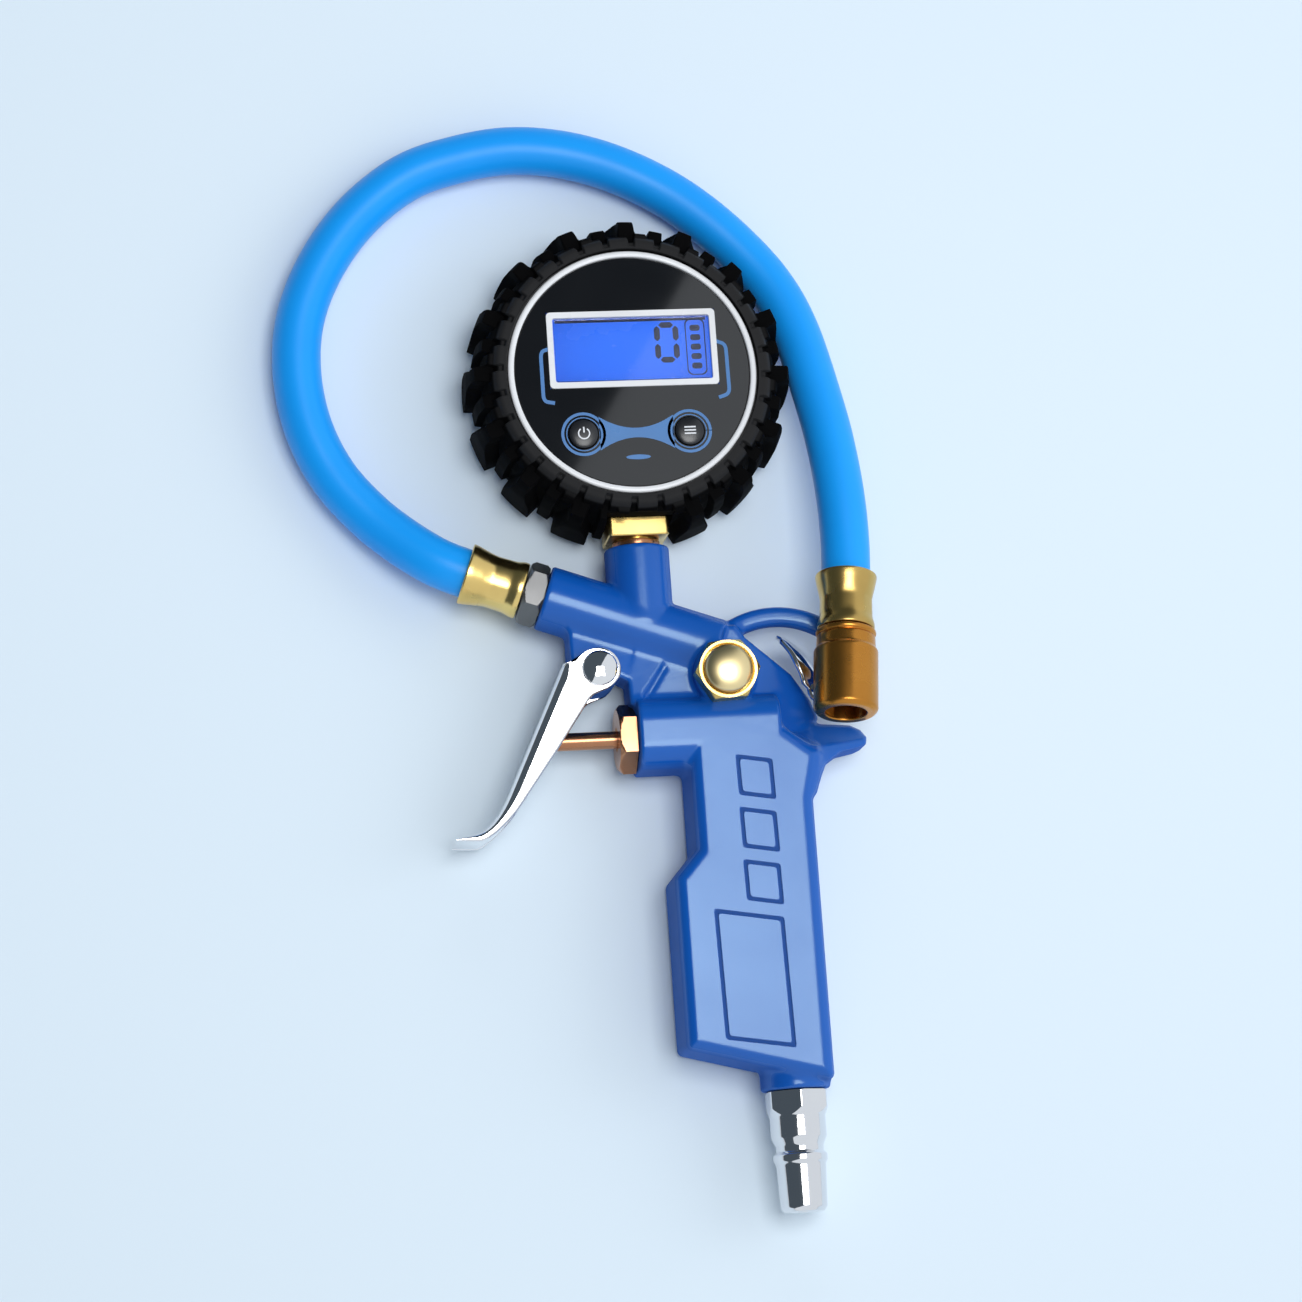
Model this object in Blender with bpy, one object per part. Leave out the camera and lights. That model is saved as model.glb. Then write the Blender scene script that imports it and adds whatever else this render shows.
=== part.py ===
"""Hand-held tyre inflator with a digital gauge, a short hose and a clip-on chuck.

The inflator lies on its back, gauge face up. X runs across the tool from the trigger to the
back of the grip, Y runs up the tool from the air plug to the gauge, and Z points away from the
surface it lies on. All sizes are in metres. Places in XY are measured from the gauge's own
axis, which the empty "gauge_axis" marks, so every piece is a child of that empty.
"""
import bmesh
import bpy
from math import asin, atan2, ceil, cos, hypot, pi, radians, sin, sqrt, tan
from mathutils import Matrix, Vector

# ---------------------------------------------------------------- driving sizes
CLEAR = 0.0003            # gap that touching pieces keep
ROUND = 32                # sides of a large round piece
SMALL_ROUND = 20          # sides of a small round piece

GAUGE_AXIS = (-0.0036, 0.0820)   # where the gauge's axis stands

# casting
GRIP_THICKNESS = 0.0210
GRIP_FRONT_X = 0.0026
GRIP_BACK_X = 0.0376
GRIP_EDGE = 0.0032
FINGER_RELIEF = 0.0058
RELIEF_END_Y = -0.1168
RELIEF_RAMP = 0.0066
GRIP_END_Y = -0.1646
GRIP_END_SLANT = 0.272
CHAMBER_Y = -0.0882
CHAMBER_HALF = 0.0086
CHAMBER_CORNER = 0.0060
CHAMBER_LEFT_X = -0.0035
CHAMBER_RIGHT_X = 0.0310
BOSS_RADIUS = 0.0080
STEM_SPACE = 0.0048       # from the boot's tread to the top of the gauge boss
PORT_CENTRE = (-0.0236, -0.0523)
PORT_SLOPE = radians(20.0)
PORT_LENGTH = 0.0440
WEB_THICKNESS = 0.0100
LUG_THICKNESS = 0.0114
LUG_LEFT_X = -0.0184
BLEED_CENTRE = (0.0184, -0.0744)
BLEED_BOSS_RADIUS = 0.0076
BLEED_BOSS_HEIGHT = 0.0088
HOOK_CENTRE = (0.0330, -0.0818)
HOOK_RADIUS = 0.0224
HOOK_WIDTH = 0.0047
HOOK_THICKNESS = 0.0045
HOOK_ROOT_ANGLE = radians(128.0)
HOOK_TIP_ANGLE = radians(22.0)
TANG_LENGTH = 0.0154
TANG_THICKNESS = 0.0110
TANG_TIP_RADIUS = 0.0026
TANG_TIP_Y = -0.0904
TANG_EDGE = 0.0022
PLUG_BOSS_RADIUS = 0.0083
PLUG_BOSS_END_Y = -0.1750
ENGRAVE_DEPTH = 0.0005
ENGRAVE_LINE = 0.0009

# air passages
AIR_RADIUS = 0.0022
THREAD_RADIUS = 0.0048
THREAD_DEPTH = 0.0110
CHAMBER_BORE = 0.0060
CHAMBER_BORE_DEPTH = 0.0330

# trigger
TRIGGER_PIVOT = (-0.0119, -0.0718)
TRIGGER_WIDTH = 0.0150
TRIGGER_SHEET = 0.0013
TRIGGER_TOP = (-0.0206, -0.0702)
TRIGGER_HEEL = (-0.0366, -0.1035)
TRIGGER_EYE = 0.0054
PIN_RADIUS = 0.0025
PIN_HEAD_RADIUS = 0.0043
PIN_HEAD = 0.0016

# inflation valve
GLAND_RADIUS = 0.0085
GLAND_LENGTH = 0.0042
GLAND_SHANK = 0.0070
STEM_RADIUS = 0.00215
SEAT_RADIUS = 0.0034
SEAT_THICKNESS = 0.0030
POPPET_RADIUS = 0.0046
POPPET_THICKNESS = 0.0028
SEAL_THICKNESS = 0.0012

# bleed valve
BUSH_RADIUS = 0.0081
BUSH_HEAD = 0.0046
BUSH_SHANK = 0.0090
BUTTON_RADIUS = 0.0058
BUTTON_DOME = 0.0022
BUTTON_RIM = 0.0012
BUTTON_TRAVEL = 0.0015
BUTTON_STEM_RADIUS = 0.0016

# air plug
PLUG_HEX_RADIUS = 0.0078
PLUG_BODY_RADIUS = 0.0067
PLUG_NECK_RADIUS = 0.0057
PLUG_FLANGE_RADIUS = 0.0065
PLUG_END_RADIUS = 0.0055
PLUG_LENGTH = 0.0286
PLUG_BORE_RADIUS = 0.0030
PLUG_X = 0.0293

# gauge
FACE_RADIUS = 0.0290
RING_WIDTH = 0.0015
CASE_RADIUS = 0.0325
CASE_WALL = 0.0020
CASE_DEPTH = 0.0217
CASE_SPLIT = 0.0028
BOOT_WALL = 0.0036
BOOT_LUG = 0.0031
BOOT_LIP = 0.0020
BOOT_BACK_OPENING = 0.0250
LUG_COUNT = 16
LUG_WIDTH = radians(11.5)
LUG_PHASE = radians(20.5)
LUG_SPAN = (0.0040, 0.0220)
BOOT_SHOULDER = 0.0032    # how far the front rim is drawn in from the tread
FACE_THICKNESS = 0.0009
LCD_WIDTH = 0.0410
LCD_HEIGHT = 0.0186
LCD_CENTRE = (0.0004, 0.0058)
LCD_LINE = 0.0012
LCD_DEPTH = 0.0051
BOARD_GAP = 0.0015        # between the board and the case's inside
BOARD_THICKNESS = 0.0016
BOARD_HEIGHT = 0.0170
KEY_OFFSET = (0.0130, -0.0154)
KEY_RADIUS = 0.0035
KEY_DOME = 0.0006
KEY_TRAVEL = 0.0006
KEY_FLANGE = 0.0009
SWITCH_SIZE = 0.0060
SWITCH_HEIGHT = 0.0011
BATTERY_RADIUS = 0.00525
BATTERY_LENGTH = 0.0445
BATTERY_PITCH = 0.0115
BATTERY_Y = 0.0062
DOOR_SIZE = (0.0440, 0.0220)
SCREW_INSET = 0.0043      # from the case's inside to a screw's axis
PILLAR_RADIUS = 0.0026
SCREW_RADIUS = 0.0012
SCREW_HEAD_RADIUS = 0.0023
SCREW_LENGTH = 0.0100
NUT_WIDTH = 0.0148
NUT_LENGTH = 0.0047
WASHER_RADIUS = 0.00575
WASHER_THICKNESS = 0.0015
SENSOR_RADIUS = 0.0060
SENSOR_LENGTH = 0.0080

# hose and its ends
HOSE_RADIUS = 0.0060
HOSE_WALL = 0.0027
FERRULE_LENGTH = 0.0145
FERRULE_RADIUS = 0.0070
FERRULE_RIM = 0.0076
FERRULE_WAIST = 0.0065
HOSE_ENTRY = 0.0024
BARB_HEX_RADIUS = 0.0081
BARB_HEX_LENGTH = 0.0048
BARB_RADIUS = 0.0028
CHUCK_FERRULE_LENGTH = 0.0141
CHUCK_TAIL = (0.04994, -0.05177, 0.01903)
CHUCK_MOUTH = (0.0461, -0.0866, 0.0245)
CHUCK_RADIUS = 0.00785
CHUCK_COLLAR = 0.0014
CHUCK_STEP = 0.0040
MOUTH_RADIUS = 0.0050
MOUTH_DEPTH = 0.0110
CLIP_WIDTH = 0.0110
CLIP_SHEET = 0.0012
CLIP_TURN = radians(-40.0)
CLIP_SLOT = 0.0044
CLIP_TAB = 0.0034
CLIP_PIVOT_BACK = 0.0065  # from the chuck's mouth to the clip's pin
CLIP_PIVOT_OUT = 0.0066
CLIP_PIN_RADIUS = 0.0007

# The hose's route, chosen by hand: from the inlet ferrule round the gauge to the chuck.
HOSE_ROUTE = [
    (-0.0486, -0.0426, 0.0101), (-0.0543, -0.0386, 0.0088), (-0.0595, -0.0342, 0.0075),
    (-0.0642, -0.0297, 0.0066), (-0.0723, -0.0197, 0.0060), (-0.0779, -0.0076, 0.0060),
    (-0.0803, 0.0060, 0.0060), (-0.0792, 0.0201, 0.0060), (-0.0737, 0.0339, 0.0060),
    (-0.0638, 0.0473, 0.0060), (-0.0505, 0.0575, 0.0060), (-0.0376, 0.0618, 0.0060),
    (-0.0254, 0.0637, 0.0060), (-0.0136, 0.0629, 0.0060), (-0.0026, 0.0601, 0.0060),
    (0.0075, 0.0557, 0.0060), (0.0167, 0.0501, 0.0060), (0.0251, 0.0432, 0.0060),
    (0.0322, 0.0358, 0.0062), (0.0377, 0.0286, 0.0068), (0.0415, 0.0214, 0.0078),
    (0.0442, 0.0136, 0.0091), (0.0461, 0.0050, 0.0107), (0.0477, -0.0040, 0.0124),
    (0.0492, -0.0135, 0.0141), (0.0502, -0.0235, 0.0157), (0.0507, -0.0333, 0.0170),
    (0.0506, -0.0430, 0.0180),
]

# ---------------------------------------------------------------- worked-out sizes
MID = GRIP_THICKNESS / 2.0                         # height of the casting's parting plane
HEX_FLAT = cos(pi / 6.0)                           # a hexagon's inner radius over its outer
BOOT_BORE = CASE_RADIUS + CLEAR
BOOT_RADIUS = BOOT_BORE + BOOT_WALL
CASE_BACK = BOOT_LIP + CLEAR
CASE_FRONT = CASE_BACK + CASE_DEPTH
BOOT_DEPTH = CASE_FRONT + CLEAR + BOOT_LIP
RING_RADIUS = FACE_RADIUS + RING_WIDTH
RING_TOP = CASE_FRONT + CLEAR + 0.8 * BOOT_LIP
FACE_BOTTOM = CASE_FRONT + CLEAR
FACE_TOP = FACE_BOTTOM + FACE_THICKNESS
BOARD_TOP = BOARD_HEIGHT + BOARD_THICKNESS
SPLIT_HEIGHT = CASE_BACK + CASE_SPLIT
CASE_INNER = CASE_RADIUS - CASE_WALL
BOARD_RADIUS = CASE_INNER - BOARD_GAP
SCREW_CIRCLE = CASE_INNER - SCREW_INSET
BOSS_TOP_Y = -(BOOT_RADIUS + STEM_SPACE)
PORT_AXIS = Vector((cos(PORT_SLOPE), -sin(PORT_SLOPE), 0.0))
PORT_FACE = Vector((PORT_CENTRE[0], PORT_CENTRE[1], MID))
FERRULE_START = BARB_HEX_LENGTH + 2.0 * CLEAR
HOSE_EXIT = PORT_FACE - PORT_AXIS * (FERRULE_START + FERRULE_LENGTH)
CHUCK_AXIS = (Vector(CHUCK_MOUTH) - Vector(CHUCK_TAIL)).normalized()
CHUCK_LENGTH = (Vector(CHUCK_MOUTH) - Vector(CHUCK_TAIL)).length
CLIP_PIVOT_ALONG = CHUCK_LENGTH - CLIP_PIVOT_BACK
ALONG_X = Vector((1.0, 0.0, 0.0))
ALONG_Y = Vector((0.0, 1.0, 0.0))
ALONG_Z = Vector((0.0, 0.0, 1.0))


# ---------------------------------------------------------------- tools
def clear_scene():
    """Remove every object that the scene holds."""
    for item in list(bpy.data.objects):
        bpy.data.objects.remove(item, do_unlink=True)


def finish(name, colour, roughness, metallic):
    """Return a Principled material of one colour."""
    made = bpy.data.materials.get(name) or bpy.data.materials.new(name)
    made.use_nodes = True
    shader = made.node_tree.nodes["Principled BSDF"]
    shader.inputs["Base Color"].default_value = (*colour, 1.0)
    shader.inputs["Roughness"].default_value = roughness
    shader.inputs["Metallic"].default_value = metallic
    return made


def add_object(name, mesh, place=(0.0, 0.0, 0.0), turn=None):
    """Put a mesh into the scene as a child of the gauge's axis."""
    made = bpy.data.objects.new(name, mesh)
    bpy.context.scene.collection.objects.link(made)
    made.parent = bpy.data.objects["gauge_axis"]
    made.location = place
    if turn is not None:
        made.rotation_euler = turn.to_euler()
    return made


def close_mesh(name, shape):
    """Write a bmesh to a mesh with outward faces, smooth on its round stretches."""
    bmesh.ops.recalc_face_normals(shape, faces=shape.faces)
    if shape.calc_volume(signed=True) < 0.0:
        bmesh.ops.reverse_faces(shape, faces=shape.faces)
    mesh = bpy.data.meshes.new(name)
    shape.to_mesh(mesh)
    shape.free()
    mesh.shade_smooth()
    mesh.set_sharp_from_angle(angle=radians(32.0))
    return mesh


def turned(name, profile, place=(0.0, 0.0, 0.0), axis=ALONG_Z, sides=ROUND, start=0.0):
    """Turn a closed profile of (radius, height) points about an axis through place."""
    shape = bmesh.new()
    rings = []
    for radius, height in profile:
        if radius < 1e-7:
            rings.append([shape.verts.new((0.0, 0.0, height))])
            continue
        angles = [start + 2.0 * pi * step / sides for step in range(sides)]
        rings.append([shape.verts.new((radius * cos(a), radius * sin(a), height)) for a in angles])
    for index, ring in enumerate(rings):
        other = rings[(index + 1) % len(rings)]
        if len(ring) == 1 and len(other) == 1:
            continue
        for step in range(sides):
            after = (step + 1) % sides
            if len(ring) == 1:
                shape.faces.new((ring[0], other[step], other[after]))
            elif len(other) == 1:
                shape.faces.new((ring[step], ring[after], other[0]))
            else:
                shape.faces.new((ring[step], ring[after], other[after], other[step]))
    turn = Vector(axis).to_track_quat("Z", "Y")
    return add_object(name, close_mesh(name, shape), place, turn)


def rod(name, radius, low, high, place=(0.0, 0.0, 0.0), axis=ALONG_Z, sides=ROUND, start=0.0):
    """A plain cylinder from low to high along its axis."""
    profile = [(0.0, low), (radius, low), (radius, high), (0.0, high)]
    return turned(name, profile, place, axis, sides, start)


def sleeve(name, outer, inner, low, high, place=(0.0, 0.0, 0.0), axis=ALONG_Z, sides=ROUND):
    """A plain tube from low to high along its axis."""
    profile = [(outer, low), (outer, high), (inner, high), (inner, low)]
    return turned(name, profile, place, axis, sides)


def inset(outline, distance):
    """Draw an anticlockwise outline in by a distance, corner by corner."""
    drawn = []
    for index, point in enumerate(outline):
        here = Vector(point)
        before = (here - Vector(outline[index - 1])).normalized()
        after = (Vector(outline[(index + 1) % len(outline)]) - here).normalized()
        inward = Vector((-before.y - after.y, before.x + after.x)) / (1.0 + before.dot(after))
        drawn.append(tuple(here + inward * distance))
    return drawn


def prism(name, outline, low, high, edge=0.0, steps=2, place=(0.0, 0.0, 0.0)):
    """Raise an outline of (x, y) points from low to high and round its two rims."""
    area = sum(a[0] * b[1] - b[0] * a[1] for a, b in zip(outline, outline[1:] + outline[:1]))
    outline = outline if area > 0.0 else outline[::-1]
    levels = [(0.0, low)]
    if edge > 0.0:
        turns = [pi / 2.0 * step / steps for step in range(steps + 1)]
        levels = [(edge * (1.0 - sin(a)), low + edge * (1.0 - cos(a))) for a in turns]
    levels += [(distance, high + low - height) for distance, height in reversed(levels)]
    shape = bmesh.new()
    rings = [[shape.verts.new((x, y, height)) for x, y in inset(outline, distance)]
             for distance, height in levels]
    shape.faces.new(rings[0][::-1])
    shape.faces.new(rings[-1])
    for ring, other in zip(rings, rings[1:]):
        for step in range(len(outline)):
            after = (step + 1) % len(outline)
            shape.faces.new((ring[step], ring[after], other[after], other[step]))
    return add_object(name, close_mesh(name, shape), place)


def block(name, size, centre):
    """A box of a size about a centre."""
    half_x, half_y = size[0] / 2.0, size[1] / 2.0
    outline = [(-half_x, -half_y), (half_x, -half_y), (half_x, half_y), (-half_x, half_y)]
    return prism(name, outline, -size[2] / 2.0, size[2] / 2.0, place=centre)


def combine(target, tool, operation):
    """Join, cut or cross one object with another, and take the other away."""
    change = target.modifiers.new(operation.lower(), "BOOLEAN")
    change.operation = operation
    change.solver = "EXACT"
    change.object = tool
    bpy.context.view_layer.update()
    seen = target.evaluated_get(bpy.context.evaluated_depsgraph_get())
    mesh = bpy.data.meshes.new_from_object(seen)
    target.modifiers.clear()
    target.data = mesh
    bpy.data.objects.remove(tool, do_unlink=True)
    mesh.shade_smooth()
    mesh.set_sharp_from_angle(angle=radians(32.0))
    return target


def join(target, *tools):
    """Make one body of an object and others that reach into it."""
    for tool in tools:
        combine(target, tool, "UNION")
    return target


def cut(target, *tools):
    """Take other shapes out of an object."""
    for tool in tools:
        combine(target, tool, "DIFFERENCE")
    return target


def arc(centre, radius, start, end, steps):
    """Points along a circle from one angle to another."""
    angles = [start + (end - start) * step / steps for step in range(steps + 1)]
    return [(centre[0] + radius * cos(a), centre[1] + radius * sin(a)) for a in angles]


def smooth_route(points, spacing):
    """Read points off a centripetal curve through the route's own points."""
    route = [Vector(p) for p in points]
    route = [2.0 * route[0] - route[1]] + route + [2.0 * route[-1] - route[-2]]
    dense = []
    for index in range(1, len(route) - 2):
        before, start, end, after = route[index - 1:index + 3]
        knots = [0.0]
        for first, second in ((before, start), (start, end), (end, after)):
            knots.append(knots[-1] + sqrt((second - first).length))
        for step in range(16):
            at = knots[1] + (knots[2] - knots[1]) * step / 16.0
            dense.append(curve_point((before, start, end, after), knots, at))
    dense.append(route[-2])
    total = sum((b - a).length for a, b in zip(dense, dense[1:]))
    count = max(2, ceil(total / spacing))
    picked, walked, wanted = [dense[0]], 0.0, total / count
    for first, second in zip(dense, dense[1:]):
        step = (second - first).length
        while walked + step >= wanted - 1e-9 and len(picked) < count:
            picked.append(first.lerp(second, (wanted - walked) / step))
            wanted += total / count
        walked += step
    return picked + [dense[-1]]


def curve_point(points, knots, at):
    """A point of the centripetal curve through four points at a knot value."""
    level = list(points)
    for spans in (((0, 1), (1, 2), (2, 3)), ((0, 2), (1, 3)), ((1, 2),)):
        shares = [(at - knots[low]) / (knots[high] - knots[low]) for low, high in spans]
        level = [first.lerp(second, share) for first, second, share in zip(level, level[1:], shares)]
    return level[0]


def tube(name, points, radius, sides_step=3):
    """A round tube along points, with filled ends, as a curve with a bevel."""
    curve = bpy.data.curves.new(name, "CURVE")
    curve.dimensions = "3D"
    curve.bevel_depth = radius
    curve.bevel_resolution = sides_step
    curve.use_fill_caps = True
    curve.render_resolution_u = 0
    line = curve.splines.new("POLY")
    line.points.add(len(points) - 1)
    for item, point in zip(line.points, points):
        item.co = (*point, 1.0)
    return add_object(name, curve)


def coil(name, radius, wire, length, turns, place, axis):
    """A compression spring: one round wire wound along an axis, ends cut square."""
    per_turn = 10
    steps = int(turns * per_turn)
    rise = (length - 2.0 * wire) / steps
    frame = Vector(axis).to_track_quat("Z", "Y")
    centre = radius - wire
    points = []
    for step in range(steps + 1):
        angle = 2.0 * pi * step / per_turn
        local = Vector((centre * cos(angle), centre * sin(angle), wire + rise * step))
        points.append(frame @ local + Vector(place))
    made = tube(name, points, wire, 1)
    return made


# ---------------------------------------------------------------- casting
def grip_outline():
    """The grip seen from its side, anticlockwise from the chamber's left."""
    relief_x = GRIP_FRONT_X + FINGER_RELIEF
    end_back_y = GRIP_END_Y - GRIP_END_SLANT * (GRIP_BACK_X - GRIP_FRONT_X)
    shoulder_y = CHAMBER_Y + CHAMBER_HALF - CHAMBER_CORNER
    return [
        (relief_x, shoulder_y), (relief_x, RELIEF_END_Y),
        (GRIP_FRONT_X, RELIEF_END_Y - RELIEF_RAMP), (GRIP_FRONT_X, GRIP_END_Y),
        (GRIP_BACK_X, end_back_y), (GRIP_BACK_X, CHAMBER_Y - 2.1 * CHAMBER_HALF),
        (GRIP_BACK_X + 0.0016, CHAMBER_Y - 0.64 * CHAMBER_HALF), (CHAMBER_RIGHT_X, shoulder_y),
    ]


def chamber_solid():
    """The valve chamber: a rounded box along X, as deep as the grip."""
    low, high = CHAMBER_LEFT_X, CHAMBER_RIGHT_X
    half_z = MID - 0.0001
    outline = []
    for quarter in range(4):
        centre_y = (CHAMBER_HALF - CHAMBER_CORNER) * (1 if quarter in (0, 3) else -1)
        centre_z = (half_z - CHAMBER_CORNER) * (1 if quarter in (0, 1) else -1)
        first = quarter * pi / 2.0
        outline += arc((centre_y, centre_z), CHAMBER_CORNER, first, first + pi / 2.0, 5)
    shape = bmesh.new()
    left = [shape.verts.new((low, CHAMBER_Y + y, MID + z)) for y, z in outline]
    right = [shape.verts.new((high, CHAMBER_Y + y, MID + z)) for y, z in outline]
    shape.faces.new(left)
    shape.faces.new(right[::-1])
    for step in range(len(outline)):
        after = (step + 1) % len(outline)
        shape.faces.new((left[step], left[after], right[after], right[step]))
    return add_object("chamber", close_mesh("chamber", shape))


def port_line_y(x):
    """Height on the page of the port tube's axis at a place across the tool."""
    return PORT_FACE.y - tan(PORT_SLOPE) * (x - PORT_FACE.x)


def web_outline():
    """The thin wall that ties port tube, chamber, bleed boss and hook together."""
    inside_tube = port_line_y(0.0)
    chamber_top = CHAMBER_Y + CHAMBER_HALF
    bleed_x, bleed_y = BLEED_CENTRE
    return [
        (CHAMBER_LEFT_X + 0.0006, chamber_top - 0.0040), (GRIP_BACK_X, CHAMBER_Y),
        (bleed_x + 0.0236, CHAMBER_Y + 0.0030), (bleed_x + 0.0216, bleed_y - 0.0060),
        (bleed_x + 0.0173, bleed_y + 0.0002), (bleed_x + 0.0063, bleed_y + 0.0093),
        (bleed_x + 0.0040, bleed_y + 0.0125), (bleed_x - 0.0030, bleed_y + 0.0120),
        (-0.0010, inside_tube), (TRIGGER_PIVOT[0] + 0.0070, TRIGGER_PIVOT[1] - 0.0010),
    ]


def lug_outline():
    """The ear that carries the trigger's pin."""
    pivot_x, pivot_y = TRIGGER_PIVOT
    tube_y = port_line_y(LUG_LEFT_X)
    ear = arc(TRIGGER_PIVOT, TRIGGER_EYE - 0.0002, radians(205.0), radians(340.0), 8)
    return [(LUG_LEFT_X, tube_y), (LUG_LEFT_X, pivot_y + 0.0036)] + ear + [
        (pivot_x + 0.0070, pivot_y - 0.0030), (CHAMBER_LEFT_X - 0.0012, CHAMBER_Y + CHAMBER_HALF - 0.0010),
        (CHAMBER_LEFT_X + 0.0020, CHAMBER_Y + CHAMBER_HALF - 0.0010),
        (pivot_x + 0.0160, pivot_y - 0.0003), (pivot_x + 0.0160, tube_y - 0.0120),
    ]


def hook_solid():
    """The hanging hook: a bar bent to an arc that ends in a round tip."""
    outer = HOOK_RADIUS + HOOK_WIDTH / 2.0
    inner = HOOK_RADIUS - HOOK_WIDTH / 2.0
    tip = (HOOK_CENTRE[0] + HOOK_RADIUS * cos(HOOK_TIP_ANGLE),
           HOOK_CENTRE[1] + HOOK_RADIUS * sin(HOOK_TIP_ANGLE))
    outline = arc(HOOK_CENTRE, outer, HOOK_TIP_ANGLE, HOOK_ROOT_ANGLE, 14)
    outline += arc(HOOK_CENTRE, inner, HOOK_ROOT_ANGLE, HOOK_TIP_ANGLE, 14)
    outline += arc(tip, HOOK_WIDTH / 2.0, HOOK_TIP_ANGLE + pi, HOOK_TIP_ANGLE + 2.0 * pi, 6)[1:-1]
    half = HOOK_THICKNESS / 2.0
    return prism("hook", outline, MID - half, MID + half, edge=HOOK_THICKNESS * 0.28)


def tang_solid():
    """The spur behind the grip that keeps the hand from sliding up."""
    tip = (GRIP_BACK_X + TANG_LENGTH - TANG_TIP_RADIUS, TANG_TIP_Y)
    root_x = GRIP_BACK_X - TANG_LENGTH / 2.0
    outline = [(root_x, CHAMBER_Y - 2.1 * CHAMBER_HALF), (root_x, CHAMBER_Y),
               (GRIP_BACK_X + 0.0030, CHAMBER_Y + 0.0008), (GRIP_BACK_X + 0.0060, CHAMBER_Y + 0.0006)]
    nose = arc(tip, TANG_TIP_RADIUS, radians(80.0), radians(-75.0), 6)
    under = [(GRIP_BACK_X + 0.0083, CHAMBER_Y - 0.0061), (GRIP_BACK_X + 0.0043, CHAMBER_Y - 0.0088),
             (GRIP_BACK_X + 0.0026, CHAMBER_Y - 0.0128), (GRIP_BACK_X + 0.0010, CHAMBER_Y - 0.0178)]
    half = TANG_THICKNESS / 2.0
    return prism("tang", outline + nose + under, MID - half, MID + half, edge=TANG_EDGE)


def engraved_frames():
    """Sunk outlines on the grip: three squares over one tall panel."""
    slope, lean = -0.17, -0.02
    squares = [(0.0191, y, 0.0088, 0.0098) for y in (-0.0948, -0.1076, -0.1203)]
    frames = []
    for index, (left, top, width, height) in enumerate(squares + [(0.0112, -0.1318, 0.0166, 0.0311)]):
        def corner(x, y):
            return (left + x + lean * (y - height), top - height + y + slope * x)
        line = ENGRAVE_LINE
        outer = [corner(0.0, 0.0), corner(width, 0.0), corner(width, height), corner(0.0, height)]
        inner = [corner(line, line), corner(width - line, line),
                 corner(width - line, height - line), corner(line, height - line)]
        low, high = GRIP_THICKNESS - ENGRAVE_DEPTH, GRIP_THICKNESS + ENGRAVE_DEPTH
        frame = prism("frame_%d" % index, outer, low, high)
        frames.append(cut(frame, prism("core", inner, low - ENGRAVE_DEPTH, high + ENGRAVE_DEPTH)))
    return frames


def air_bores():
    """Everything that is drilled out of the casting."""
    chamber = Vector((CHAMBER_LEFT_X, CHAMBER_Y, MID))
    bleed = Vector((*BLEED_CENTRE, MID))
    cross_y = port_line_y(0.0)
    bleed_top = BLEED_BOSS_HEIGHT + 0.0010
    bleed_low = BLEED_BOSS_HEIGHT - BUSH_SHANK - 0.0040
    plug_low = PLUG_BOSS_END_Y - 0.0010
    return [
        rod("bore", CHAMBER_BORE, -0.0010, CHAMBER_BORE_DEPTH, chamber, ALONG_X, SMALL_ROUND),
        rod("bore", THREAD_RADIUS + CLEAR, -0.0010, THREAD_DEPTH, PORT_FACE, PORT_AXIS, SMALL_ROUND),
        rod("bore", AIR_RADIUS, THREAD_DEPTH - 0.0010, PORT_LENGTH - 0.0020, PORT_FACE, PORT_AXIS, 12),
        rod("bore", THREAD_RADIUS + CLEAR, BOSS_TOP_Y - THREAD_DEPTH, BOSS_TOP_Y + 0.0010,
            (0.0, 0.0, MID), ALONG_Y, SMALL_ROUND),
        rod("bore", AIR_RADIUS * 0.9, cross_y, BOSS_TOP_Y - THREAD_DEPTH + 0.0010,
            (0.0, 0.0, MID), ALONG_Y, 12, 0.1),
        rod("bore", AIR_RADIUS * 0.8, CHAMBER_Y + 0.0010, cross_y - 0.0010, (0.0052, 0.0, MID),
            ALONG_Y, 10, 0.15),
        rod("bore", THREAD_RADIUS + CLEAR, bleed_low, bleed_top, bleed, ALONG_Z, SMALL_ROUND, 0.07),
        rod("bore", THREAD_RADIUS + CLEAR, plug_low, PLUG_BOSS_END_Y + THREAD_DEPTH,
            (PLUG_X, 0.0, MID), ALONG_Y, SMALL_ROUND),
        rod("bore", AIR_RADIUS, PLUG_BOSS_END_Y + THREAD_DEPTH - 0.0010, CHAMBER_Y - 0.0010,
            (PLUG_X - 0.0040, 0.0, MID), ALONG_Y, 12, 0.1),
        rod("bore", PIN_RADIUS + 0.5 * CLEAR, -GRIP_THICKNESS, GRIP_THICKNESS,
            (*TRIGGER_PIVOT, MID), ALONG_Z, SMALL_ROUND),
    ]


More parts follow.
